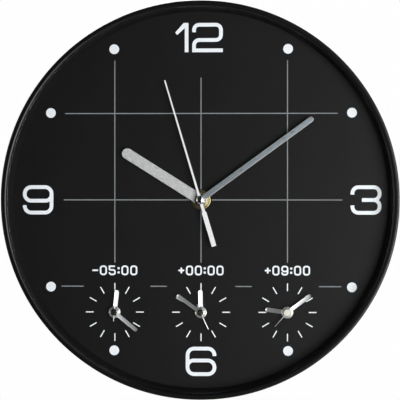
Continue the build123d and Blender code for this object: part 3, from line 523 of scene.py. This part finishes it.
def turned(points, rounds=None, steps=96, segments=6):
    """Spin an outline of (radius, height) about the z axis."""
    bm = outline(points, rounds, segments)
    bmesh.ops.rotate(bm, verts=bm.verts, matrix=Matrix.Rotation(math.radians(90), 3, "X"))
    bmesh.ops.delete(bm, geom=bm.faces[:], context="FACES_ONLY")
    on_axis = [edge for edge in bm.edges if all(abs(vert.co.x) < merge_distance for vert in edge.verts)]
    bmesh.ops.delete(bm, geom=on_axis, context="EDGES")
    bmesh.ops.spin(
        bm,
        geom=bm.verts[:] + bm.edges[:],
        axis=(0, 0, 1),
        cent=(0, 0, 0),
        angle=math.radians(360),
        steps=steps,
        use_merge=True,
    )
    bmesh.ops.remove_doubles(bm, verts=bm.verts, dist=merge_distance)
    bmesh.ops.recalc_face_normals(bm, faces=bm.faces)
    return bm


def from_sheet(points, bottom, top, rounds=None, edge_break=0.0, segments=6):
    """Cut an outline from sheet between two heights and break its front edges."""
    bm = outline(points, rounds, segments)
    thick = bmesh.ops.extrude_face_region(bm, geom=bm.faces[:])["geom"]
    raised = [item for item in thick if isinstance(item, bmesh.types.BMVert)]
    bmesh.ops.translate(bm, verts=raised, vec=(0, 0, top - bottom))
    bmesh.ops.translate(bm, verts=bm.verts, vec=(0, 0, bottom))
    bmesh.ops.recalc_face_normals(bm, faces=bm.faces)
    if edge_break:
        front = {vert for vert in bm.verts if abs(vert.co.z - top) < merge_distance}
        front_edges = [edge for edge in bm.edges if front.issuperset(edge.verts)]
        bmesh.ops.bevel(
            bm,
            geom=front_edges,
            offset=edge_break,
            affect="EDGES",
            segments=2,
            profile=0.5,
            material=-1,
            clamp_overlap=True,
        )
    return bm


def put_together(*meshes):
    """Several closed shells as one bmesh."""
    whole = bmesh.new()
    for bm in meshes:
        carrier = bpy.data.meshes.new("carrier")
        bm.to_mesh(carrier)
        bm.free()
        whole.from_mesh(carrier)
        bpy.data.meshes.remove(carrier)
    return whole


# %% [markdown]
# A finished piece is written in place: its mesh holds its position, and its object stays
# at the origin. It then rides on a body, takes over from the CAD part that it stands for,
# and names the material slot that its finish comes from.

# %% Write a piece and hand it to the frame


def map_lengthways(bm):
    """Give the piece a flat map of its own x and y, before it is turned to its angle."""
    layer = bm.loops.layers.uv.new("lengthways")
    for face in bm.faces:
        for corner in face.loops:
            corner[layer].uv = (corner.vert.co.x / map_unit, corner.vert.co.y / map_unit)


def write_piece(name, bm, body, nodes, slots, place=(0, 0), angle=0.0, smooth_below=20):
    """Turn a drawing clockwise by an angle, move it to its place and make it a piece.

    Edges that turn by more than smooth_below degrees stay hard.
    """
    turn = Matrix.Rotation(math.radians(-angle), 4, "Z")
    bm.transform(stand_up @ Matrix.Translation((*place, 0)) @ turn)
    mesh = bpy.data.meshes.new(name)
    bm.to_mesh(mesh)
    bm.free()
    for slot in slots:
        mesh.materials.append(finishes[slot])
    mesh.shade_smooth()
    mesh.set_sharp_from_angle(angle=math.radians(smooth_below))
    piece = bpy.data.objects.new(name, mesh)
    bpy.context.scene.collection.objects.link(piece)
    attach(piece, body)
    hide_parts(*nodes)
    print(name, "has", len(mesh.polygons), "faces")


# %% [markdown]
# ## The rim
# The rim is one moulded ring: a straight wall two millimetres thick that turns inwards
# into a round bead. The light runs along the bead as two thin lines, so the bead needs
# true curves. The outline is drawn once with its corners rounded, and spun in 256 steps,
# so that no flat shows on a ring thirty centimetres across.

# %% Spin the case ring
case_radius = (case_corners[1].x - case_corners[0].x) / 2 / millimetre
wall = 2.0
bead_width = 5.0
bead_depth = 3.0
bead_outer_round = 1.2
bead_inner_round = 2.2
rear_round = 0.4
large_ring_steps = 256
ring_outline = [
    (case_radius, 0),
    (case_radius, case_front),
    (case_radius - bead_width, case_front),
    (case_radius - bead_width, case_front - bead_depth),
    (case_radius - wall, case_front - bead_depth),
    (case_radius - wall, 0),
]
ring_rounds = {0: rear_round, 1: bead_outer_round, 2: bead_inner_round, 5: rear_round}
ring = turned(ring_outline, ring_rounds, large_ring_steps, segments=10)
write_piece("rim", ring, "case", ["case_ring"], ["rim_black"], smooth_below=35)

# %% [markdown]
# ## The inner wall
# Between the lens and the dial stands a matt black wall. It leans inwards a little, so
# that its moulding tool can be pulled out, and it has a narrow step in front where the
# lens rests. The step catches a hair of light, which is why it is worth modelling.

# %% Spin the inner wall
lens_back = back_of("lens")
wall_outer = (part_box("spacer_ring")[1].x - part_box("spacer_ring")[0].x) / 2 / millimetre
wall_front_radius = 147.0
wall_dial_radius = 144.8
step_width = 0.5
step_depth = 0.7
wall_outline = [
    (wall_outer, dial_front),
    (wall_outer, lens_back),
    (wall_front_radius + step_width, lens_back),
    (wall_front_radius + step_width, lens_back - step_depth),
    (wall_front_radius, lens_back - step_depth),
    (wall_dial_radius, dial_front),
]
wall_rounds = {2: 0.2, 4: 0.25}
inner_wall = turned(wall_outline, wall_rounds, large_ring_steps, segments=4)
write_piece("inner_wall", inner_wall, "case", ["spacer_ring"], ["inner_wall_black"], smooth_below=25)

# %% [markdown]
# ## Nut and washer
# The main movement is clamped to the dial by a round brass nut on a washer. Both are
# turned on a lathe, and their broken edges draw the two bright arcs round the hub.

# %% Turn the nut and the washer
bushing_radius = 4.03
washer_radius = 7.4
washer_round = 0.15
nut_radius = 6.7
nut_chamfer = 0.9
nut_bore_chamfer = 0.3
nut_rounds = {1: 0.2, 2: 0.35, 3: 0.35}
washer_back, washer_front = back_of("main_washer"), front_of("main_washer")
nut_back, nut_front = back_of("main_lock_nut"), front_of("main_lock_nut")
washer_outline = [
    (bushing_radius, washer_back),
    (washer_radius, washer_back),
    (washer_radius, washer_front),
    (bushing_radius, washer_front),
]
washer = turned(washer_outline, {2: washer_round}, segments=3)
write_piece("brass_washer", washer, "case", ["main_washer"], ["brass"])
nut_outline = [
    (bushing_radius, nut_back),
    (nut_radius, nut_back),
    (nut_radius, nut_front - nut_chamfer),
    (nut_radius - nut_chamfer, nut_front),
    (bushing_radius + nut_bore_chamfer, nut_front),
    (bushing_radius, nut_front - nut_bore_chamfer),
]
nut = turned(nut_outline, nut_rounds, segments=4)
write_piece("brass_nut", nut, "case", ["main_lock_nut"], ["brass"])

# %% [markdown]
# ## The main hands
# The hour and minute hands are straight strips of brushed sheet with round tips. Near the
# hub the hour hand is folded down by half its thickness, and the fold shows as a dark
# step. The edges are broken, so that a fine bright line runs along them. The hub is a
# turned bushing under the strip, pressed on the movement's pipe.

# %% Draw a strip, and fold its hub end down
# Two rounds as large as half the width would meet in one point, so each is a little less
tip_share = 0.98


def round_tipped_strip(width, length, bottom, top, edge_break, segments):
    """A strip from the hub's middle to 12 o'clock, with a round tip."""
    half = width / 2
    points = [(-half, 0), (half, 0), (half, length), (-half, length)]
    tip_rounds = {2: half * tip_share, 3: half * tip_share}
    return from_sheet(points, bottom, top, tip_rounds, edge_break, segments)


def fold_down(strip, fold_at, fold_depth):
    """Lower the hub end of a strip, over a slope twice as long as it is deep."""
    for distance in (fold_at, fold_at - 2 * fold_depth):
        bmesh.ops.bisect_plane(
            strip,
            geom=strip.verts[:] + strip.edges[:] + strip.faces[:],
            plane_co=(0, distance, 0),
            plane_no=(0, 1, 0),
        )
    low = [vert for vert in strip.verts if vert.co.y < fold_at - fold_depth]
    bmesh.ops.translate(strip, verts=low, vec=(0, 0, -fold_depth))


# %% Draw a strip hand with its hub
# A face that looks less than this much forwards or back is part of a cut edge
flat_face = 0.98
hub_foot_share = 0.75
hub_lip = 0.05
hub_round = 0.45


def strip_hand(width, length, hub_radius, bore, bottom, top, edge_break, fold_at=0.0, fold_depth=0.0):
    """A strip hand on a bored hub, with slots for its faces, its cut edges and its hub."""
    strip = round_tipped_strip(width, length, bottom, top, edge_break, segments=10)
    for face in strip.faces:
        face.material_index = int(abs(face.normal.z) < flat_face)
    if fold_at:
        fold_down(strip, fold_at, fold_depth)
    collar = bottom - (top - bottom)
    hub_front = top - fold_depth + hub_lip
    hub_outline = [
        (bore, collar),
        (hub_radius * hub_foot_share, collar),
        (hub_radius, bottom - fold_depth),
        (hub_radius, hub_front),
        (bore, hub_front),
    ]
    hub = turned(hub_outline, {3: hub_round}, steps=64, segments=5)
    for face in hub.faces:
        face.material_index = 2
    return put_together(strip, hub)


# %% Where each dial's hour, minute and second hand point, in degrees past 12 o'clock
hand_angles = {
    "main": (302.2, 53.9, 343.4),
    "left_zone": (6.5, 129.4, 5.0),
    "middle_zone": (359.0, 305.7, 155.2),
    "right_zone": (278.0, 53.0, 221.5),
}
main_hour_angle, main_minute_angle, main_second_angle = hand_angles["main"]
hand_sheet = 0.6
print("the main hands point to", hand_angles["main"], "degrees")

# %% The hour hand
hour_top = front_of("main_hour_hand")
hour_hand = strip_hand(
    width=8.3,
    length=70.9,
    hub_radius=5.0,
    bore=2.63,
    bottom=hour_top - hand_sheet,
    top=hour_top,
    edge_break=0.22,
    fold_at=9.4,
    fold_depth=0.3,
)
map_lengthways(hour_hand)
hour_slots = ["hand_brushed", "cut_edge", "hub_steel"]
write_piece("hour_hand", hour_hand, "main_hours", ["main_hour_hand"], hour_slots, angle=main_hour_angle)

# %% The minute hand
minute_top = front_of("main_minute_hand")
minute_hand = strip_hand(
    width=4.1,
    length=106.8,
    hub_radius=3.9,
    bore=1.63,
    bottom=minute_top - hand_sheet,
    top=minute_top,
    edge_break=0.2,
)
map_lengthways(minute_hand)
# Its blue-grey finish carries a painted reflection in its colour
write_piece(
    "minute_hand",
    minute_hand,
    "main_minutes",
    ["main_minute_hand"],
    ["hand_blue_grey", "cut_edge", "hub_steel"],
    angle=main_minute_angle,
)

# %% [markdown]
# ## The second hand
# One white needle runs from the tip through the hub to a paddle, which balances it. Half
# of its outline is drawn, and the other half is its mirror.

# %% Cut the second hand and its collar
second_top = front_of("main_second_hand")
second_sheet = 0.35
second_edge_break = 0.08
tip_half, tip = 0.52, 95.8
root_half, root = 0.8, 5.0
eye_half, eye_front, eye_rear = 1.8, 1.5, -1.8
neck_half, neck_front, neck_rear = 1.15, -3.4, -9.3
paddle_half, paddle_front, paddle_rear = 1.8, -10.2, -37.0
half_outline = [
    (tip_half, tip),
    (root_half, root),
    (eye_half, eye_front),
    (eye_half, eye_rear),
    (neck_half, neck_front),
    (neck_half, neck_rear),
    (paddle_half, paddle_front),
    (paddle_half, paddle_rear),
]
second_outline = half_outline + [(-x, y) for x, y in reversed(half_outline)]
second_back = second_top - second_sheet
long_needle = from_sheet(second_outline, second_back, second_top, edge_break=second_edge_break)

second_bore, second_collar_radius, second_collar_round = 0.53, 1.3, 0.15
second_collar_back, second_collar_front = second_top - 1.3, second_top - 0.3
second_collar_outline = [
    (second_bore, second_collar_back),
    (second_collar_radius, second_collar_back),
    (second_collar_radius, second_collar_front),
    (second_bore, second_collar_front),
]
second_collar = turned(second_collar_outline, {1: second_collar_round}, steps=48, segments=3)
second_hand = put_together(long_needle, second_collar)
map_lengthways(second_hand)
write_piece(
    "second_hand",
    second_hand,
    "main_seconds",
    ["main_second_hand"],
    ["hand_white"],
    angle=main_second_angle,
)

# %% [markdown]
# ## The cap
# A chrome-plated cap closes the hub. A mirror shows its surroundings, so its shape is
# everything: a low dome, half an ellipse in outline, on a skirt too short to show.

# %% Turn the domed cap
cap_radius = 3.5
cap_skirt = 0.1


def dome_points(radius, skirt_bottom, skirt_top, top, count=8):
    """The outline of a dome on a skirt, from the axis below to the axis above."""
    rise = top - skirt_top
    arc = []
    for step in range(count):
        turn = step * math.pi / 2 / count
        arc.append((radius * math.cos(turn), skirt_top + rise * math.sin(turn)))
    return [(0, skirt_bottom), (radius, skirt_bottom)] + arc + [(0, top)]


cap_back, cap_front = back_of("main_hand_cap"), front_of("main_hand_cap")
cap = turned(dome_points(cap_radius, cap_back, cap_back + cap_skirt, cap_front))
write_piece("chrome_cap", cap, "main_seconds", ["main_hand_cap"], ["cap_chrome"], smooth_below=50)

# %% [markdown]
# ## The small hands
# The small dials carry stamped hands with a groove down the middle: a press leaves the
# edges standing and sinks the middle, which then reflects something else. An inset of the
# front face followed by a small push back makes the groove. The hour and minute hands turn
# on rolled rings, and each second needle carries a flat cap.

# %% Draw a grooved hand
groove_depth = 0.1
pipe_length = 0.6
pipe_share = 0.7
ring_sink = 0.1
ring_height = 0.3
ring_width = 0.8
ring_round = 0.35


def grooved_hand(width, length, hub_radius, bore, top, groove_margin):
    """A stamped strip with a sunk middle and a round hub."""
    bottom = top - hand_sheet
    strip = round_tipped_strip(width, length, bottom, top, edge_break=0.0, segments=8)
    front_face = max(strip.faces, key=lambda face: face.calc_center_median().z)
    bmesh.ops.inset_individual(strip, faces=[front_face], thickness=groove_margin, depth=-groove_depth)
    hub_outline = [
        (bore, bottom - pipe_length),
        (hub_radius * pipe_share, bottom - pipe_length),
        (hub_radius, bottom - ring_sink),
        (hub_radius, top + ring_height),
        (hub_radius - ring_width, top + ring_height),
        (hub_radius - ring_width, top - ring_sink),
        (bore, top - ring_sink),
    ]
    hub = turned(hub_outline, {3: ring_round, 4: ring_round}, steps=56, segments=5)
    for face in hub.faces:
        face.material_index = 1
    return put_together(strip, hub)


# %% Draw a needle with its cap
needle_drop = 1.2
needle_edge_break = 0.06
needle_tail_half, needle_tail = 0.3, -6.9
needle_tip_half, needle_tip = 0.25, 14.3
small_collar_radius, small_collar_back, small_collar_front = 1.0, -0.95, -0.1
small_collar_round = 0.1
small_cap_radius, small_cap_back = 2.65, -0.12
small_cap_rounds = {1: 0.1, 2: 0.25}
# A face of the cap that looks more than this much forwards takes the cap's own finish
cap_face_slope = 0.3


def disc_points(radius, bottom, top):
    """The outline of a solid disc, from the axis below to the axis above."""
    return [(0, bottom), (radius, bottom), (radius, top), (0, top)]


def capped_needle(top):
    """A thin needle with a short tail, on a collar and under a flat cap."""
    front = top - needle_drop + second_sheet / 2
    points = [
        (-needle_tail_half, needle_tail),
        (needle_tail_half, needle_tail),
        (needle_tip_half, needle_tip),
        (-needle_tip_half, needle_tip),
    ]
    needle = from_sheet(points, front - second_sheet, front, edge_break=needle_edge_break)
    collar_points = disc_points(small_collar_radius, front + small_collar_back, front + small_collar_front)
    collar = turned(collar_points, {1: small_collar_round}, steps=32, segments=2)
    cap_points = disc_points(small_cap_radius, front + small_cap_back, top)
    cap = turned(cap_points, small_cap_rounds, steps=64, segments=5)
    for face in cap.faces:
        face.material_index = 2 if face.normal.z > cap_face_slope else 1
    return put_together(needle, collar, cap)


# %% Make the hands of the three small dials
zones = ("left_zone", "middle_zone", "right_zone")
# Two caps are bare and mirror the dark room, and the right one is painted cream all over: a painted reflection of
# the bright backdrop
cap_finish = dict(zip(zones, ("small_cap_steel", "small_cap_steel", "cap_cream")))
grooved_sizes = {
    "hour": {"width": 3.3, "length": 17.0, "hub_radius": 4.5, "bore": 2.63, "groove_margin": 0.75},
    "minute": {"width": 2.85, "length": 22.4, "hub_radius": 3.4, "bore": 1.63, "groove_margin": 0.65},
}
for zone in zones:
    centre = axis_of(f"{zone}_seconds_turn")
    for kind, angle in zip(("hour", "minute", "second"), hand_angles[zone]):
        top = front_of(f"{zone}_{kind}_hand")
        slots = ["small_hand_silver", "satin_nickel"]
        smooth_below = 20
        if kind == "second":
            hand = capped_needle(top)
            slots.append(cap_finish[zone])
            smooth_below = 50
        else:
            hand = grooved_hand(top=top, **grooved_sizes[kind])
        map_lengthways(hand)
        body, nodes = f"{zone}_{kind}s", [f"{zone}_{kind}_hand"]
        write_piece(f"{zone}_{kind}", hand, body, nodes, slots, centre, angle, smooth_below)

# %% [markdown]
# ## Screws
# Twelve small screws hold the back together. Each has a pan head with a cross recess,
# which shows when the clock is turned round. The middle of the head's face is taken out,
# the gap between its edge and a cross of twelve corners is filled, and the cross's edges
# are pushed down into the head, a little narrower below, as a screwdriver's tip is.

# %% Draw one screw with a cross recess
flat_share = 0.8
edge_height_share = 0.4
edge_round_share = 0.2
cross_half_share = 0.12
cross_reach_share = 0.55
cross_depth_share = 0.55
cross_taper = 0.75


def cross_screw(shank_radius, head_radius, head_height, head_front, tip):
    """A screw along z with its head behind head_front, seen from behind."""
    crown = head_front - head_height
    flat_radius = head_radius * flat_share
    edge_round = head_height * edge_round_share
    head_outline = [
        (0, crown),
        (flat_radius, crown),
        (head_radius, crown + head_height * edge_height_share),
        (head_radius, head_front),
        (shank_radius, head_front),
        (shank_radius, tip - shank_radius),
        (0, tip),
    ]
    screw = turned(head_outline, {1: edge_round, 2: edge_round}, steps=32, segments=3)
    level = {vert for vert in screw.verts if vert.co.z < crown + merge_distance}
    middle = [face for face in screw.faces if level.issuperset(face.verts)]
    bmesh.ops.delete(screw, geom=middle, context="FACES")
    round_edges = [edge for edge in screw.edges if edge.is_boundary]
    half, reach = head_radius * cross_half_share, head_radius * cross_reach_share
    corners = []
    for quarter in range(4):
        turn = Matrix.Rotation(math.radians(45 + 90 * quarter), 3, "Z")
        for x, y in ((reach, -half), (reach, half), (half, half)):
            corners.append(screw.verts.new(turn @ Vector((x, y, crown))))
    slot_edges = [screw.edges.new((corners[i - 1], corners[i])) for i in range(len(corners))]
    bmesh.ops.triangle_fill(screw, edges=round_edges + slot_edges, use_beauty=True)
    sunk = bmesh.ops.extrude_edge_only(screw, edges=slot_edges)["geom"]
    sunk_verts = [item for item in sunk if isinstance(item, bmesh.types.BMVert)]
    bmesh.ops.scale(screw, verts=sunk_verts, vec=(cross_taper, cross_taper, 1.0))
    bmesh.ops.translate(screw, verts=sunk_verts, vec=(0, 0, head_height * cross_depth_share))
    floor_edges = [edge for edge in screw.edges if edge.is_boundary]
    bmesh.ops.triangle_fill(screw, edges=floor_edges, use_beauty=True)
    bmesh.ops.recalc_face_normals(screw, faces=screw.faces)
    open_edges = [edge for edge in screw.edges if not edge.is_manifold]
    if open_edges:
        raise ValueError(f"the screw has {len(open_edges)} open edges")
    return screw


def screw_places(node):
    """The middle of each screw of a group, from the joined corners of its CAD mesh."""
    bm = bmesh.new()
    bm.from_mesh(frame["nodes"][node].data)
    bmesh.ops.remove_doubles(bm, verts=bm.verts, dist=merge_distance * millimetre)
    left = set(bm.verts)
    places = []
    while left:
        group = {left.pop()}
        to_visit = list(group)
        while to_visit:
            vert = to_visit.pop()
            for edge in vert.link_edges:
                other = edge.other_vert(vert)
                if other in left:
                    left.discard(other)
                    group.add(other)
                    to_visit.append(other)
        xs = [vert.co.x for vert in group]
        zs = [vert.co.z for vert in group]
        x = (min(xs) + max(xs)) / 2 - dial_middle.x
        y = (min(zs) + max(zs)) / 2 - dial_middle.z
        places.append((x / millimetre, y / millimetre))
    bm.free()
    return sorted(places)


# %% Make both groups of screws
for node, name, shank, head, height in (
    ("case_screws", "cross_head_case_screws", 0.95, 1.8, 1.4),
    ("small_movement_screws", "cross_head_lug_screws", 1.2, 2.4, 1.6),
):
    places = screw_places(node)
    screws = []
    for x, y in places:
        screw = cross_screw(shank, head, height, back_of(node) + height, front_of(node))
        bmesh.ops.translate(screw, verts=screw.verts, vec=(x, y, 0))
        screws.append(screw)
    print(name, len(places), "places")
    write_piece(name, put_together(*screws), "case", [node], ["screw_steel"], smooth_below=40)

# %% [markdown]
# ## Cells in their bays
# Each cell is turned from one outline: the flat minus end, the can with its rolled edges,
# the plus end with its button. The faces of the two ends are bare steel, so they take a
# second material.

# %% Turn a cell and lay it along x
cell_radius = 7.1
cell_length = 50.5
button_radius = 2.75
button_length = 1.2
minus_plate_radius, minus_rim_radius, minus_sink = 4.6, 5.0, 0.15
plus_plate_radius, plus_rim_radius, plus_sink = 4.9, 5.2, 0.2
cell_rounds = {3: 0.6, 4: 0.6, 8: 0.4}
# How far the sleeve laps over each end
sleeve_lap = 0.9
cell_slots = ["cell_jacket", "contact_nickel"]


def cell_at(x, y, z):
    """A cell along x with its button to the right."""
    start = -cell_length / 2
    shoulder = cell_length / 2 - button_length
    points = [
        (0, start + minus_sink),
        (minus_plate_radius, start + minus_sink),
        (minus_rim_radius, start),
        (cell_radius, start),
        (cell_radius, shoulder),
        (plus_rim_radius, shoulder),
        (plus_plate_radius, shoulder - plus_sink),
        (button_radius, shoulder - plus_sink),
        (button_radius, cell_length / 2),
        (0, cell_length / 2),
    ]
    cell = turned(points, cell_rounds, steps=72, segments=4)
    layer = cell.loops.layers.uv.new("lengthways")
    for face in cell.faces:
        middle = face.calc_center_median()
        bare = math.hypot(middle.x, middle.y) < cell_radius - sleeve_lap
        face.material_index = 1 if bare else 0
        for corner in face.loops:
            corner[layer].uv = ((corner.vert.co.z - start) / cell_length, 0.5)
    bmesh.ops.rotate(cell, verts=cell.verts, matrix=Matrix.Rotation(math.radians(90), 3, "Y"))
    bmesh.ops.translate(cell, verts=cell.verts, vec=(x, y, z))
    return cell


bay_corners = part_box("main_battery")
cell_drop = ((bay_corners[0].z + bay_corners[1].z) / 2 - dial_middle.z) / millimetre
cell_height = (front_of("main_battery") + back_of("main_battery")) / 2
main_cell = cell_at(0, cell_drop, cell_height)
write_piece("main_cell", main_cell, "case", ["main_battery"], cell_slots)
small_cells = []
for zone in zones:
    x, y = axis_of(f"{zone}_seconds_turn")
    small_cells.append(cell_at(x, y + cell_drop, cell_height))
write_piece("small_cells", put_together(*small_cells), "case", ["small_batteries"], cell_slots)

# %% [markdown]
# ## The stage
# The clock hangs in the air in front of white, as in a catalogue. The camera sees plain
# white past the clock, but a white room would light it too evenly, so the rays that light
# it find only a weak fill. Mirrors and glass find a third thing, a simple room: dim white
# behind the clock, a dark studio before it, a white wall on the right and a faint one far
# to the left. The dark studio is the dark band in the chrome cap.

# %% The room that mirrors see
backdrop_white = "#fefefe"
studio_dark = "#101112"

world = bpy.data.worlds.new("studio")
bpy.context.scene.world = world
world.use_nodes = True
sky = world.node_tree
sky.nodes.clear()
direction = add_node(sky, "ShaderNodeTexCoord")
parts = add_node(sky, "ShaderNodeSeparateXYZ", None, {"Vector": direction.outputs["Generated"]})
# Each wall fades in as a ray slants from one value to another along x or y
walls = {}
for side, axis, begins, whole, most in (
    ("behind", "Y", -0.15, 0.15, 0.3),
    ("before", "Y", 0.15, -0.15, 1.0),
    ("right", "X", 0.2, 0.35, 1.0),
    ("left", "X", -0.35, -1.0, 0.3),
):
    wall_node = add_node(
        sky,
        "ShaderNodeMapRange",
        {"From Min": begins, "From Max": whole, "To Max": most, "interpolation_type": "SMOOTHSTEP"},
        {"Value": parts.outputs[axis]},
    )
    walls[side] = wall_node.outputs["Result"]
side_walls = add_node(
    sky, "ShaderNodeMath", {"operation": "MAXIMUM"}, {0: walls["right"], 1: walls["left"]}
)
walls_before = add_node(
    sky,
    "ShaderNodeMath",
    {"operation": "MULTIPLY"},
    {0: side_walls.outputs["Value"], 1: walls["before"]},
)
to_white = add_node(
    sky,
    "ShaderNodeMath",
    {"operation": "MAXIMUM"},
    {0: walls_before.outputs["Value"], 1: walls["behind"]},
)
mirrored = add_node(
    sky,
    "ShaderNodeMix",
    {"data_type": "RGBA", 6: linear(studio_dark), 7: linear(backdrop_white)},
    {0: to_white.outputs["Value"]},
)
print("the mirrored room has", len(walls), "walls")

# %% What each kind of ray finds
fill_strength = 0.13
fill_colour = "#f4f6ff"
rays = add_node(sky, "ShaderNodeLightPath")
see_through = add_node(
    sky,
    "ShaderNodeMath",
    {"operation": "MAXIMUM"},
    {0: rays.outputs["Is Glossy Ray"], 1: rays.outputs["Is Transmission Ray"]},
)
fill = add_node(sky, "ShaderNodeBackground", {"Color": linear(fill_colour), "Strength": fill_strength})
in_mirrors = add_node(sky, "ShaderNodeBackground", {"Strength": 1.0}, {"Color": mirrored.outputs[2]})
backdrop = add_node(sky, "ShaderNodeBackground", {"Color": linear(backdrop_white), "Strength": 1.0})
not_seen = add_node(
    sky,
    "ShaderNodeMixShader",
    None,
    {0: see_through.outputs["Value"], 1: fill.outputs["Background"], 2: in_mirrors.outputs["Background"]},
)
all_rays = add_node(
    sky,
    "ShaderNodeMixShader",
    None,
    {0: rays.outputs["Is Camera Ray"], 1: not_seen.outputs["Shader"], 2: backdrop.outputs["Background"]},
)
add_node(sky, "ShaderNodeOutputWorld", None, {"Surface": all_rays.outputs["Shader"]})
print("the world has", len(sky.nodes), "nodes")

# %% [markdown]
# ## The floor
# A small pale floor far below the clock catches its shadow in the views from the side. It
# is part of the stage.

# %% Lay the floor
floor_radius = 0.55
floor_drop = 0.36
floor_bm = bmesh.new()
bmesh.ops.create_circle(floor_bm, cap_ends=True, segments=128, radius=floor_radius)
bmesh.ops.translate(floor_bm, verts=floor_bm.verts, vec=(0, 0, cad_low.z - floor_drop))
floor_mesh = bpy.data.meshes.new("floor")
floor_bm.to_mesh(floor_mesh)
floor_bm.free()
floor_mesh.materials.append(skin("pale_floor_paint", "#e4e4e2", "#eaeae8", 0.8, 4.0, 0.02))
floor = bpy.data.objects.new("floor", floor_mesh)
bpy.context.scene.collection.objects.link(floor)
print("floor of radius", floor_radius, "m")

# %% [markdown]
# ## Lamps and camera
# The main lamp is a large softbox on the right and a little low, nearly thirty degrees
# off the dial's axis. It is large enough to blur the shadow of the rim over several
# millimetres. A weak one stands far to the left for the rim. The third is behind and
# above: no view of the dial sees it, but it lights the clock's back and the floor below.
# The camera stands nearly two and a half metres away with a long lens, under four degrees
# to the right. Lamps and camera both look down their own z axis, so one function places
# them all, in metres.

# %% Lamps
lamp_target = Vector((0, -dial_front * millimetre, dial_middle.z))


def aim_at(target, name, data, azimuth, elevation, distance):
    """Add a lamp or a camera that looks at a target, from a direction given in degrees."""
    across, up = math.radians(azimuth), math.radians(elevation)
    towards = Vector((math.sin(across) * math.cos(up), -math.cos(across) * math.cos(up), math.sin(up)))
    thing = bpy.data.objects.new(name, data)
    thing.location = target + towards * distance
    thing.rotation_euler = towards.to_track_quat("Z", "Y").to_euler()
    bpy.context.scene.collection.objects.link(thing)
    return thing


def softbox(name, azimuth, elevation, distance, size, power):
    """A white square area lamp that looks at the middle of the dial."""
    data = bpy.data.lights.new(name, "AREA")
    data.shape = "SQUARE"
    data.size = size
    data.energy = power
    aim_at(lamp_target, name, data, azimuth, elevation, distance)
    print(name, "of", power, "W at", azimuth, "degrees")


softbox("key_softbox", azimuth=29, elevation=-7, distance=2.2, size=1.2, power=61.0)
softbox("left_softbox", azimuth=-62, elevation=0, distance=1.6, size=0.9, power=4.0)
softbox("rear_softbox", azimuth=200, elevation=38, distance=2.2, size=1.2, power=60.0)

# %% Camera
camera_distance = 2.434
camera_azimuth = 3.6
camera_elevation = 0.5
picture_width_at_rim = 0.3050
# The picture's middle lies half a millimetre to the right of the clock's, and a little up
shift_across = 0.0005
shift_up = 0.00012
camera_data = bpy.data.cameras.new("camera")
camera_data.sensor_width = 36.0
rim_distance = camera_distance - (case_front - dial_front) * millimetre
camera_data.lens = camera_data.sensor_width * rim_distance / picture_width_at_rim
picture_middle = Vector((shift_across, -case_front * millimetre, dial_middle.z + shift_up))
camera = aim_at(picture_middle, "camera", camera_data, camera_azimuth, camera_elevation, rim_distance)
bpy.context.scene.camera = camera
bpy.context.scene.view_settings.view_transform = "Standard"
print("lens", round(camera_data.lens, 1), "mm")
